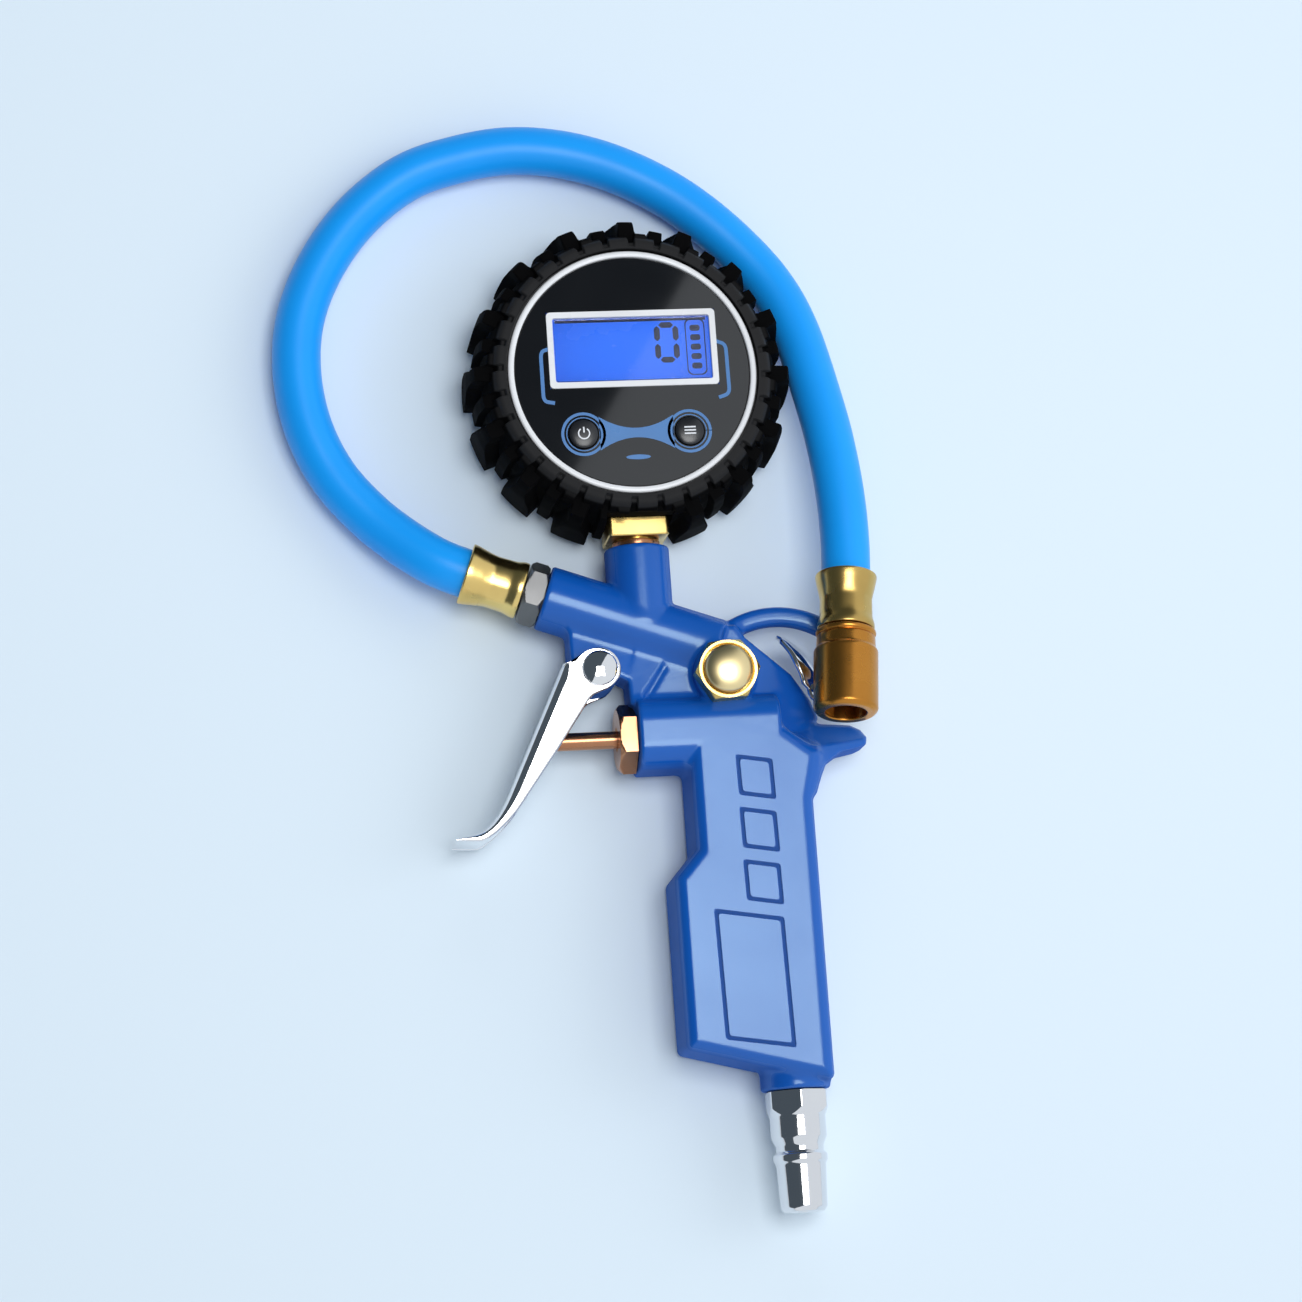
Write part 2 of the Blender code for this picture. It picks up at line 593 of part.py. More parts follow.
def make_gun_body():
    """The die-cast body with grip, valve chamber, ports, hook and trigger ear."""
    body = prism("gun_body", grip_outline(), 0.0, GRIP_THICKNESS, edge=GRIP_EDGE, steps=3)
    half_web, half_lug = WEB_THICKNESS / 2.0, LUG_THICKNESS / 2.0
    tube_end = Vector((0.0, 0.0, MID))
    join(
        body,
        chamber_solid(),
        prism("web", web_outline(), MID - half_web, MID + half_web),
        rod("tube", BOSS_RADIUS, 0.0, PORT_LENGTH, PORT_FACE, PORT_AXIS),
        rod("boss", BOSS_RADIUS - 0.0001, port_line_y(0.0) + 0.0009, BOSS_TOP_Y, tube_end, ALONG_Y),
        prism("lug", lug_outline(), MID - half_lug, MID + half_lug),
        rod("bleed_boss", BLEED_BOSS_RADIUS, -0.0065, BLEED_BOSS_HEIGHT, (*BLEED_CENTRE, MID)),
        hook_solid(),
        tang_solid(),
        rod("plug_boss", PLUG_BOSS_RADIUS, PLUG_BOSS_END_Y, GRIP_END_Y, (PLUG_X, 0.0, MID), ALONG_Y),
    )
    cut(body, *engraved_frames())
    cut(body, *air_bores())
    body.data.materials.append(finish("blue_casting", (0.020, 0.120, 0.560), 0.30, 0.0))
    return body


# ---------------------------------------------------------------- trigger and valves
def trigger_outline():
    """The lever from its side: straight back, curled foot, hollow front, round eye."""
    eye = arc(TRIGGER_PIVOT, TRIGGER_EYE, radians(-104.0), radians(158.0), 16)
    heel_x, heel_y = TRIGGER_HEEL
    curl = [(-0.0030, -0.0043), (-0.0059, -0.0067), (-0.0123, -0.0079), (-0.0122, -0.0087),
            (-0.0058, -0.0091), (-0.0026, -0.0071), (0.0004, -0.0043), (0.0029, -0.0017)]
    foot = [(heel_x + x, heel_y + y) for x, y in curl]
    pivot_x, pivot_y = TRIGGER_PIVOT
    hollow = [(pivot_x - 0.0114, pivot_y - 0.0193), (pivot_x - 0.0023, pivot_y - 0.0065)]
    return [TRIGGER_TOP, TRIGGER_HEEL] + foot + hollow + eye


def make_trigger():
    """The pressed lever, a channel that straddles the body's ear, and its pin."""
    pivot_x, pivot_y = TRIGGER_PIVOT
    local = [(x - pivot_x, y - pivot_y) for x, y in trigger_outline()]
    half = TRIGGER_WIDTH / 2.0
    lever = prism("trigger_lever", local, -half, half, place=(pivot_x, pivot_y, MID))
    back = Vector(TRIGGER_HEEL) - Vector(TRIGGER_TOP)
    inward = Vector((-back.y, back.x)).normalized() * TRIGGER_SHEET
    start = Vector(TRIGGER_TOP) - back * 0.25 + inward
    stop = Vector(TRIGGER_HEEL) + inward - back * 0.01
    slot = [(p.x - pivot_x, p.y - pivot_y) for p in (start, stop)]
    slot += [(0.0200, slot[1][1]), (0.0200, slot[0][1])]
    inner = half - TRIGGER_SHEET
    hollow = prism("hollow", slot, -inner, inner, place=(pivot_x, pivot_y, MID))
    hole = rod("hole", PIN_RADIUS + CLEAR, -half - 0.0010, half + 0.0010,
               (pivot_x, pivot_y, MID), sides=SMALL_ROUND)
    cut(lever, hollow, hole)
    lever.data.materials.append(finish("chrome", (0.75, 0.75, 0.76), 0.08, 1.0))
    reach = half + CLEAR
    profile = [(0.0, -reach - PIN_HEAD), (PIN_HEAD_RADIUS * 0.8, -reach - PIN_HEAD),
               (PIN_HEAD_RADIUS, -reach - PIN_HEAD * 0.6), (PIN_HEAD_RADIUS, -reach),
               (PIN_RADIUS, -reach), (PIN_RADIUS, reach), (PIN_HEAD_RADIUS, reach),
               (PIN_HEAD_RADIUS, reach + PIN_HEAD * 0.6), (PIN_HEAD_RADIUS * 0.75, reach + PIN_HEAD),
               (0.0, reach + PIN_HEAD * 1.1)]
    pin = turned("trigger_pin", profile, (pivot_x, pivot_y, MID), sides=SMALL_ROUND)
    pin.data.materials.append(finish("chrome", (0.75, 0.75, 0.76), 0.08, 1.0))


def stem_tip_x():
    """Where the valve stem's round tip stands, just clear of the lever's back."""
    back = Vector(TRIGGER_HEEL) - Vector(TRIGGER_TOP)
    slope = back.x / back.y
    lean = atan2(abs(back.x), abs(back.y))
    wall_x = TRIGGER_TOP[0] + (CHAMBER_Y - TRIGGER_TOP[1]) * slope
    wall_x += (TRIGGER_SHEET + CLEAR + STEM_RADIUS) / cos(lean)
    return wall_x - STEM_RADIUS


def make_inflation_valve():
    """Gland nut, stem with its poppet, seals, seat and return spring, along X."""
    place = (0.0, CHAMBER_Y, MID)
    face = CHAMBER_LEFT_X - CLEAR
    shank = CHAMBER_LEFT_X + GLAND_SHANK
    bore = STEM_RADIUS + CLEAR
    groove = CHAMBER_LEFT_X + GLAND_SHANK * 0.5
    ring = 0.0011
    nut = rod("gland_nut", GLAND_RADIUS, face - GLAND_LENGTH, face, place, ALONG_X, 6, pi / 6.0)
    low, high = face - GLAND_LENGTH - 0.0001, face + 0.0001
    rim = turned("rim", [(0.0, low), (GLAND_RADIUS * 0.88, low), (GLAND_RADIUS, face - GLAND_LENGTH * 0.8),
                         (GLAND_RADIUS, high), (0.0, high)], place, ALONG_X)
    combine(nut, rim, "INTERSECT")
    join(nut, rod("shank", CHAMBER_BORE - CLEAR, face - 0.0010, shank, place, ALONG_X, SMALL_ROUND))
    cut(nut, rod("bore", bore, -0.0200, 0.0200, place, ALONG_X, 16),
        rod("counterbore", bore + ring + CLEAR, groove, shank + 0.0010, place, ALONG_X, SMALL_ROUND))
    copper = finish("copper", (0.62, 0.26, 0.13), 0.22, 1.0)
    nut.data.materials.append(copper)
    seal = sleeve("stem_seal", bore + ring, bore, groove + CLEAR, groove + 0.0025, place, ALONG_X, 16)
    rubber = finish("black_rubber", (0.012, 0.012, 0.013), 0.70, 0.0)
    seal.data.materials.append(rubber)
    seat_low = shank + CLEAR
    seat_high = seat_low + SEAT_THICKNESS
    seat = sleeve("valve_seat", CHAMBER_BORE - CLEAR, SEAT_RADIUS, seat_low, seat_high, place, ALONG_X,
                  SMALL_ROUND)
    brass = finish("brass", (0.80, 0.56, 0.18), 0.18, 1.0)
    seat.data.materials.append(brass)
    tip = stem_tip_x()
    seal_low = seat_high + CLEAR
    disc_low = seal_low + SEAL_THICKNESS + CLEAR
    disc_high = disc_low + POPPET_THICKNESS
    stem = turned("valve_stem", [
        (0.0, tip), (STEM_RADIUS * 0.5, tip + STEM_RADIUS * 0.14),
        (STEM_RADIUS * 0.87, tip + STEM_RADIUS * 0.5),
        (STEM_RADIUS, tip + STEM_RADIUS), (STEM_RADIUS, disc_low), (POPPET_RADIUS, disc_low),
        (POPPET_RADIUS, disc_high), (STEM_RADIUS, disc_high), (STEM_RADIUS, disc_high + 0.0030),
        (0.0, disc_high + 0.0030)], place, ALONG_X, SMALL_ROUND)
    stem.data.materials.append(copper)
    washer = sleeve("poppet_seal", POPPET_RADIUS, STEM_RADIUS + CLEAR, seal_low,
                    seal_low + SEAL_THICKNESS, place, ALONG_X, SMALL_ROUND)
    washer.data.materials.append(rubber)
    spring_low = disc_high + CLEAR
    spring_high = CHAMBER_LEFT_X + CHAMBER_BORE_DEPTH - CLEAR
    spring = coil("valve_spring", POPPET_RADIUS - 0.0002, 0.0004, spring_high - spring_low, 6,
                  (spring_low, CHAMBER_Y, MID), ALONG_X)
    spring.data.materials.append(finish("spring_steel", (0.55, 0.55, 0.56), 0.25, 1.0))


def make_bleed_valve():
    """Hexagonal bush with a domed button that lets air out of the tyre."""
    place = (*BLEED_CENTRE, MID)
    face = BLEED_BOSS_HEIGHT + CLEAR
    top = face + BUSH_HEAD
    floor = top - BUTTON_RIM - BUTTON_TRAVEL - 0.0006
    shank_low = face - BUSH_SHANK
    bush = rod("bleed_bush", BUSH_RADIUS, face, top, place, ALONG_Z, 6, radians(3.0))
    rim = turned("rim", [(0.0, face - 0.0001), (BUSH_RADIUS, face - 0.0001), (BUSH_RADIUS, top - 0.0010),
                         (BUSH_RADIUS * 0.90, top + 0.0001), (0.0, top + 0.0001)], place)
    combine(bush, rim, "INTERSECT")
    join(bush, rod("shank", THREAD_RADIUS, shank_low, face + 0.0005, place, sides=SMALL_ROUND))
    bore = BUTTON_STEM_RADIUS + CLEAR
    spring_room = 0.0032
    cut(bush, rod("bore", bore, shank_low - 0.0010, top + 0.0010, place, sides=16),
        rod("cup", BUTTON_RADIUS + CLEAR, floor, top + 0.0010, place, sides=ROUND),
        rod("well", spring_room, floor - 0.0040, top, place, sides=SMALL_ROUND))
    brass = finish("brass", (0.80, 0.56, 0.18), 0.18, 1.0)
    bush.data.materials.append(brass)
    rim_low = floor + BUTTON_TRAVEL + 0.0004
    rim_high = top + 0.0004
    foot = shank_low - CLEAR
    button = turned("bleed_button", [
        (0.0, foot - 0.0016), (0.0030, foot - 0.0016), (0.0030, foot - CLEAR - 0.0006),
        (BUTTON_STEM_RADIUS, foot - CLEAR - 0.0006), (BUTTON_STEM_RADIUS, rim_low),
        (BUTTON_RADIUS, rim_low), (BUTTON_RADIUS, rim_high),
        (BUTTON_RADIUS * 0.86, rim_high + BUTTON_DOME * 0.45),
        (BUTTON_RADIUS * 0.60, rim_high + BUTTON_DOME * 0.78),
        (BUTTON_RADIUS * 0.30, rim_high + BUTTON_DOME * 0.95), (0.0, rim_high + BUTTON_DOME)], place)
    button.data.materials.append(brass)
    spring = coil("bleed_spring", spring_room - CLEAR, 0.0003, rim_low - floor + 0.0040 - 2.0 * CLEAR, 5,
                  (BLEED_CENTRE[0], BLEED_CENTRE[1], MID + floor - 0.0040 + CLEAR), ALONG_Z)
    spring.data.materials.append(finish("spring_steel", (0.55, 0.55, 0.56), 0.25, 1.0))
    seal = sleeve("bleed_seal", 0.0030, BUTTON_STEM_RADIUS + CLEAR, foot - 0.0006, foot, place,
                  sides=SMALL_ROUND)
    seal.data.materials.append(finish("black_rubber", (0.012, 0.012, 0.013), 0.70, 0.0))


def make_air_plug():
    """The coupler plug that takes the air line, and the strainer behind it."""
    place = (PLUG_X, PLUG_BOSS_END_Y, MID)
    down = -ALONG_Y
    low = CLEAR
    end = low + PLUG_LENGTH
    plug = turned("coupler_plug", [
        (PLUG_HEX_RADIUS, low), (PLUG_HEX_RADIUS, low + 0.0042), (PLUG_BODY_RADIUS, low + 0.0062),
        (PLUG_BODY_RADIUS, low + 0.0110), (PLUG_NECK_RADIUS, low + 0.0131), (PLUG_NECK_RADIUS, low + 0.0143),
        (PLUG_FLANGE_RADIUS, low + 0.0152), (PLUG_FLANGE_RADIUS, low + 0.0165),
        (PLUG_END_RADIUS, end - 0.0010), (PLUG_END_RADIUS - 0.0007, end), (PLUG_BORE_RADIUS, end),
        (PLUG_BORE_RADIUS, low)], place, down)
    hexagon = rod("hexagon", PLUG_HEX_RADIUS, low - 0.0010, low + 0.0062, place, down, 6, 0.0)
    tail = rod("tail", PLUG_HEX_RADIUS, low + 0.0050, end + 0.0010, place, down)
    combine(plug, join(hexagon, tail), "INTERSECT")
    shank = sleeve("shank", THREAD_RADIUS, PLUG_BORE_RADIUS, CLEAR - THREAD_DEPTH, low + 0.0004, place, down,
                   ROUND)
    join(plug, shank)
    plug.data.materials.append(finish("chrome", (0.75, 0.75, 0.76), 0.08, 1.0))
    strainer = turned("filter_screen", [
        (PLUG_BORE_RADIUS - CLEAR, -0.0080), (PLUG_BORE_RADIUS - CLEAR, 0.0),
        (PLUG_BORE_RADIUS - 0.0009, 0.0), (PLUG_BORE_RADIUS - 0.0009, -0.0074), (0.0, -0.0074),
        (0.0, -0.0080)], place, down, SMALL_ROUND)
    strainer.data.materials.append(finish("steel_mesh", (0.50, 0.50, 0.51), 0.40, 1.0))


# ---------------------------------------------------------------- gauge
def make_boot():
    """The rubber boot: a tyre-like cup round the case, with lugs and a stem notch."""
    lip_radius = RING_RADIUS + 0.0005
    drawn = BOOT_SHOULDER
    boot = turned("gauge_boot", [
        (BOOT_BACK_OPENING, 0.0), (BOOT_RADIUS - 1.1 * drawn, 0.0),
        (BOOT_RADIUS - 0.3 * drawn, 0.5 * drawn), (BOOT_RADIUS, 1.2 * drawn),
        (BOOT_RADIUS, 0.6 * BOOT_DEPTH), (BOOT_RADIUS - 0.2 * drawn, 0.78 * BOOT_DEPTH),
        (BOOT_RADIUS - 0.55 * drawn, 0.92 * BOOT_DEPTH), (BOOT_RADIUS - drawn, BOOT_DEPTH),
        (lip_radius, BOOT_DEPTH), (lip_radius, BOOT_DEPTH - BOOT_LIP), (BOOT_BORE, BOOT_DEPTH - BOOT_LIP),
        (BOOT_BORE, BOOT_LIP), (BOOT_BACK_OPENING, BOOT_LIP)], sides=72)
    tread = None
    outer = BOOT_RADIUS + BOOT_LUG
    inner = BOOT_RADIUS - BOOT_WALL * 0.45
    small_span = (LUG_SPAN[0] + BOOT_LUG, LUG_SPAN[1] + 0.5 * BOOT_LUG)
    kinds = ((0.0, outer, LUG_WIDTH, LUG_SPAN),
             (pi / LUG_COUNT, BOOT_RADIUS + BOOT_LUG * 0.55, LUG_WIDTH * 0.45, small_span))
    stem_side = asin((NUT_WIDTH / 2.0 + BOOT_LUG) / BOOT_RADIUS)
    for number in range(LUG_COUNT):
        for offset, reach, width, span in kinds:
            facing = 2.0 * pi * number / LUG_COUNT + LUG_PHASE + offset
            if abs((facing + pi / 2.0 + pi) % (2.0 * pi) - pi) < stem_side:
                continue
            outline = arc((0.0, 0.0), inner, facing + width * 0.62, facing - width * 0.62, 2)
            outline += arc((0.0, 0.0), reach, facing - width * 0.5, facing + width * 0.5, 2)
            lug = prism("lug_block", outline, span[0], span[1])
            tread = lug if tread is None else merge_loose(tread, lug)
    join(boot, tread)
    notch = NUT_WIDTH / 2.0 + 0.0008
    notch_length = 5.5 * BOOT_WALL
    flat_y = -BOOT_BORE - 0.5 * BOOT_WALL
    cut(boot, block("notch", (2.0 * notch, notch_length, MID + notch - BOOT_LIP + 0.0001),
                    (0.0, -BOOT_RADIUS - BOOT_LUG, (MID + notch + BOOT_LIP) / 2.0)),
        block("flat", (2.0 * notch + CLEAR, BOOT_LUG + BOOT_WALL, 0.5 * BOOT_DEPTH),
              (0.0, flat_y - (BOOT_LUG + BOOT_WALL) / 2.0, 0.67 * BOOT_DEPTH)))
    boot.data.materials.append(finish("boot_rubber", (0.014, 0.014, 0.015), 0.55, 0.0))


def merge_loose(target, other):
    """Put another object's mesh into a target's, both as they stand in the gauge's frame."""
    shape = bmesh.new()
    for item in (target, other):
        part = bmesh.new()
        part.from_mesh(item.data)
        part.transform(Matrix.Translation(item.location))
        piece = bpy.data.meshes.new("piece")
        part.to_mesh(piece)
        part.free()
        shape.from_mesh(piece)
    target.location = (0.0, 0.0, 0.0)
    mesh = bpy.data.meshes.new(target.name)
    shape.to_mesh(mesh)
    shape.free()
    target.data = mesh
    bpy.data.objects.remove(other, do_unlink=True)
    return target


def screw_places():
    """Where the three case screws stand."""
    angles = (radians(90.0), radians(212.0), radians(328.0))
    return [(SCREW_CIRCLE * cos(a), SCREW_CIRCLE * sin(a)) for a in angles]


def make_case():
    """Front housing, back cover, battery door and the screws that hold them."""
    plastic = finish("case_plastic", (0.020, 0.020, 0.022), 0.45, 0.0)
    front = turned("case_front", [
        (CASE_RADIUS, SPLIT_HEIGHT), (CASE_RADIUS, CASE_FRONT), (0.0, CASE_FRONT),
        (0.0, CASE_FRONT - CASE_WALL), (CASE_INNER, CASE_FRONT - CASE_WALL), (CASE_INNER, SPLIT_HEIGHT)],
        sides=48)
    pillar_low = SPLIT_HEIGHT - CASE_SPLIT + CASE_WALL + CLEAR
    for x, y in screw_places():
        join(front, rod("pillar", PILLAR_RADIUS, pillar_low, CASE_FRONT - CASE_WALL + 0.0005, (x, y, 0.0),
                        sides=12))
    window = block("window", (LCD_WIDTH + 2.0 * CLEAR, LCD_HEIGHT + 2.0 * CLEAR, 4.0 * CASE_WALL),
                   (*LCD_CENTRE, CASE_FRONT - CASE_WALL / 2.0))
    cut(front, window)
    for side in (-1.0, 1.0):
        cut(front, rod("key_hole", KEY_RADIUS + CLEAR, CASE_FRONT - 2.0 * CASE_WALL, CASE_FRONT + CASE_WALL,
                       (side * KEY_OFFSET[0], KEY_OFFSET[1], 0.0), sides=SMALL_ROUND))
    cut(front, rod("stem_hole", THREAD_RADIUS + CLEAR, -CASE_RADIUS - 0.0020, -CASE_INNER + 0.0020,
                   (0.0, 0.0, MID), ALONG_Y, SMALL_ROUND))
    for x, y in screw_places():
        cut(front, rod("pilot", SCREW_RADIUS + 0.5 * CLEAR, -0.0010, SCREW_LENGTH + 0.0010 + CASE_BACK,
                       (x, y, 0.0), sides=10))
    front.data.materials.append(plastic)

    back = turned("case_back", [
        (0.0, CASE_BACK), (CASE_RADIUS, CASE_BACK), (CASE_RADIUS, SPLIT_HEIGHT - CLEAR),
        (CASE_INNER, SPLIT_HEIGHT - CLEAR), (CASE_INNER, CASE_BACK + CASE_WALL),
        (0.0, CASE_BACK + CASE_WALL)], sides=48)
    cut(back, block("door_hole", (DOOR_SIZE[0], DOOR_SIZE[1], 4.0 * CASE_WALL), (0.0, BATTERY_Y, CASE_BACK)))
    for x, y in screw_places():
        cut(back, rod("screw_hole", SCREW_RADIUS + CLEAR, CASE_BACK - 0.0010, CASE_BACK + 2.0 * CASE_WALL,
                      (x, y, 0.0), sides=12),
            rod("sink", SCREW_HEAD_RADIUS + CLEAR, CASE_BACK - 0.0010, CASE_BACK + 0.0010, (x, y, 0.0),
                sides=16))
    back.data.materials.append(plastic)

    door = block("battery_door", (DOOR_SIZE[0] - 2.0 * CLEAR, DOOR_SIZE[1] - 2.0 * CLEAR, CASE_WALL - CLEAR),
                 (0.0, BATTERY_Y, CASE_BACK + (CASE_WALL - CLEAR) / 2.0))
    door.data.materials.append(plastic)

    steel = finish("screw_steel", (0.45, 0.45, 0.46), 0.30, 1.0)
    head = 0.0010 - CLEAR
    for number, (x, y) in enumerate(screw_places()):
        screw = turned("case_screw_%d" % (number + 1), [
            (0.0, 0.0), (SCREW_HEAD_RADIUS, 0.0), (SCREW_HEAD_RADIUS, head), (SCREW_RADIUS, head),
            (SCREW_RADIUS, SCREW_LENGTH), (0.0, SCREW_LENGTH + 0.0006)], (x, y, CASE_BACK), sides=12)
        screw.data.materials.append(steel)


def make_face():
    """White bezel ring, glossy face, display with its frame and lens."""
    ring = sleeve("bezel_ring", RING_RADIUS, FACE_RADIUS, FACE_BOTTOM, RING_TOP, sides=72)
    ring.data.materials.append(finish("white_ring", (0.86, 0.87, 0.88), 0.30, 0.0))
    face = rod("face_plate", FACE_RADIUS - CLEAR, FACE_BOTTOM, FACE_TOP, sides=64)
    frame_hole = (LCD_WIDTH + 2.0 * CLEAR, LCD_HEIGHT + 2.0 * CLEAR, 0.0100)
    cut(face, block("window", frame_hole, (*LCD_CENTRE, FACE_TOP)))
    for side in (-1.0, 1.0):
        cut(face, rod("key_hole", KEY_RADIUS + CLEAR, FACE_BOTTOM - 0.0010, FACE_TOP + 0.0010,
                      (side * KEY_OFFSET[0], KEY_OFFSET[1], 0.0), sides=SMALL_ROUND))
    face.data.materials.append(finish("gloss_black", (0.012, 0.012, 0.013), 0.12, 0.0))

    frame_top = FACE_TOP + 0.0003
    frame = block("lcd_frame", (LCD_WIDTH, LCD_HEIGHT, frame_top - FACE_BOTTOM),
                  (*LCD_CENTRE, (frame_top + FACE_BOTTOM) / 2.0))
    inner = (LCD_WIDTH - 2.0 * LCD_LINE, LCD_HEIGHT - 2.0 * LCD_LINE, 0.0100)
    cut(frame, block("window", inner, (*LCD_CENTRE, FACE_TOP)))
    frame.data.materials.append(finish("white_ring", (0.86, 0.87, 0.88), 0.30, 0.0))
    lens = block("lcd_lens", (inner[0] - 2.0 * CLEAR, inner[1] - 2.0 * CLEAR, FACE_THICKNESS - CLEAR),
                 (*LCD_CENTRE, (FACE_TOP + FACE_BOTTOM) / 2.0))
    lens.data.materials.append(finish("lens", (0.70, 0.80, 1.00), 0.05, 0.0))
    panel_low = BOARD_TOP + CLEAR
    panel = block("lcd_panel", (LCD_WIDTH, LCD_HEIGHT, CASE_FRONT - panel_low),
                  (*LCD_CENTRE, (CASE_FRONT + panel_low) / 2.0))
    panel.data.materials.append(finish("lcd_blue", (0.045, 0.130, 1.000), 0.25, 0.0))


def make_electronics():
    """Circuit board, key switches, cells and their contacts."""
    board = rod("circuit_board", BOARD_RADIUS, BOARD_HEIGHT, BOARD_TOP, sides=48)
    for x, y in screw_places():
        cut(board, rod("pillar_hole", PILLAR_RADIUS + 2.0 * CLEAR, BOARD_HEIGHT - 0.0010, BOARD_TOP + 0.0010,
                       (x, y, 0.0), sides=14))
    board.data.materials.append(finish("board_green", (0.020, 0.180, 0.070), 0.50, 0.0))
    cell_height = CASE_BACK + CASE_WALL + CLEAR + BATTERY_RADIUS
    for number, side in ((1, -1.0), (2, 1.0)):
        y = BATTERY_Y + side * BATTERY_PITCH / 2.0
        length, radius = BATTERY_LENGTH, BATTERY_RADIUS
        cell = turned("battery_%d" % number, [
            (0.0, -length / 2.0), (radius, -length / 2.0), (radius, length / 2.0 - 0.0012),
            (0.0019, length / 2.0 - 0.0012), (0.0019, length / 2.0), (0.0, length / 2.0)],
            (0.0, y, cell_height), ALONG_X * side, 24)
        cell.data.materials.append(finish("cell_wrap", (0.08, 0.08, 0.09), 0.35, 0.0))
    reach = BATTERY_LENGTH / 2.0 + CLEAR
    for name, side in (("battery_contact_a", -1.0), ("battery_contact_b", 1.0)):
        contact = block(name, (0.0005, BATTERY_PITCH + 0.0060, 0.0080),
                        (side * (reach + 0.00025), BATTERY_Y, cell_height))
        contact.data.materials.append(finish("spring_steel", (0.55, 0.55, 0.56), 0.25, 1.0))
    flange_radius = KEY_RADIUS + 0.0011
    flange_top = CASE_FRONT - CASE_WALL - CLEAR
    shoulder = FACE_TOP + 0.0003
    for name, side in (("power", -1.0), ("mode", 1.0)):
        place = (side * KEY_OFFSET[0], KEY_OFFSET[1], 0.0)
        key = turned(name + "_button", [
            (0.0, flange_top - KEY_FLANGE), (flange_radius, flange_top - KEY_FLANGE),
            (flange_radius, flange_top), (KEY_RADIUS, flange_top), (KEY_RADIUS, shoulder),
            (KEY_RADIUS * 0.75, shoulder + KEY_DOME * 0.6),
            (KEY_RADIUS * 0.4, shoulder + KEY_DOME * 0.9), (0.0, shoulder + KEY_DOME)], place, sides=24)
        key.data.materials.append(finish("key_black", (0.018, 0.018, 0.020), 0.35, 0.0))
        base = BOARD_TOP + CLEAR
        switch = block(name + "_switch", (SWITCH_SIZE, SWITCH_SIZE, SWITCH_HEIGHT),
                       (place[0], place[1], base + SWITCH_HEIGHT / 2.0))
        switch.data.materials.append(finish("case_plastic", (0.020, 0.020, 0.022), 0.45, 0.0))


def make_gauge_stem():
    """Brass stem with a square for the spanner, its washer and the pressure sensor."""
    brass = finish("brass", (0.80, 0.56, 0.18), 0.18, 1.0)
    nut_low = BOSS_TOP_Y + WASHER_THICKNESS + 2.0 * CLEAR
    nut_high = nut_low + NUT_LENGTH
    half = NUT_WIDTH / 2.0
    stem = prism("gauge_stem", [(-half, nut_low), (half, nut_low), (half, nut_high), (-half, nut_high)],
                 MID - half, MID + half, edge=0.0007, steps=1)
    inner_end = -CASE_INNER + 0.0030
    shank = rod("shank", THREAD_RADIUS, BOSS_TOP_Y - THREAD_DEPTH + 0.0010, inner_end, (0.0, 0.0, MID),
                ALONG_Y, SMALL_ROUND)
    join(stem, shank)
    cut(stem, rod("bore", 0.0015, BOSS_TOP_Y - THREAD_DEPTH - 0.0010, inner_end - 0.0020, (0.0, 0.0, MID),
                  ALONG_Y, 12))
    stem.data.materials.append(brass)
    washer = sleeve("stem_washer", WASHER_RADIUS, THREAD_RADIUS + CLEAR, BOSS_TOP_Y + CLEAR,
                    BOSS_TOP_Y + CLEAR + WASHER_THICKNESS, (0.0, 0.0, MID), ALONG_Y, SMALL_ROUND)
    washer.data.materials.append(finish("copper", (0.62, 0.26, 0.13), 0.22, 1.0))
    sensor = rod("pressure_sensor", SENSOR_RADIUS, inner_end + CLEAR, inner_end + CLEAR + SENSOR_LENGTH,
                 (0.0, 0.0, MID), ALONG_Y, SMALL_ROUND)
    sensor.data.materials.append(finish("spring_steel", (0.55, 0.55, 0.56), 0.25, 1.0))


# ---------------------------------------------------------------- hose and chuck
def ferrule(name, length, place, axis):
    """A crimped brass ferrule that flares towards the hose; axis points at the hose."""
    mouth = HOSE_RADIUS + CLEAR
    floor = length - HOSE_ENTRY - CLEAR
    made = turned(name, [
        (FERRULE_RADIUS, 0.0), (FERRULE_RADIUS, length * 0.10), (FERRULE_WAIST, length * 0.22),
        (FERRULE_WAIST, length * 0.55), (FERRULE_WAIST + 0.0002, length * 0.66),
        (FERRULE_RIM - 0.0002, length * 0.90), (FERRULE_RIM, length), (mouth, length), (mouth, floor),
        (BARB_RADIUS + CLEAR, floor), (BARB_RADIUS + CLEAR, 0.0)], place, axis, SMALL_ROUND + 4)
    made.data.materials.append(finish("brass", (0.80, 0.56, 0.18), 0.18, 1.0))
    return made


def make_inlet():
    """The swaged hose end at the body: hexagon, thread and barb, and its ferrule."""
    ferrule("inlet_ferrule", FERRULE_LENGTH, PORT_FACE - PORT_AXIS * FERRULE_START, -PORT_AXIS)
    barb_end = -FERRULE_START - FERRULE_LENGTH + HOSE_ENTRY + 3.0 * CLEAR
    fitting = rod("inlet_fitting", BARB_HEX_RADIUS, -CLEAR - BARB_HEX_LENGTH, -CLEAR, PORT_FACE, PORT_AXIS, 6,
                  pi / 6.0)
    join(fitting,
         rod("shank", THREAD_RADIUS, -0.0010, THREAD_DEPTH - 0.0010, PORT_FACE, PORT_AXIS, SMALL_ROUND),
         rod("barb", BARB_RADIUS, barb_end, -0.0010, PORT_FACE, PORT_AXIS, 16))
    cut(fitting, rod("bore", 0.0015, -0.0500, 0.0500, PORT_FACE, PORT_AXIS, 12))
    fitting.data.materials.append(finish("nickel", (0.60, 0.60, 0.60), 0.20, 1.0))


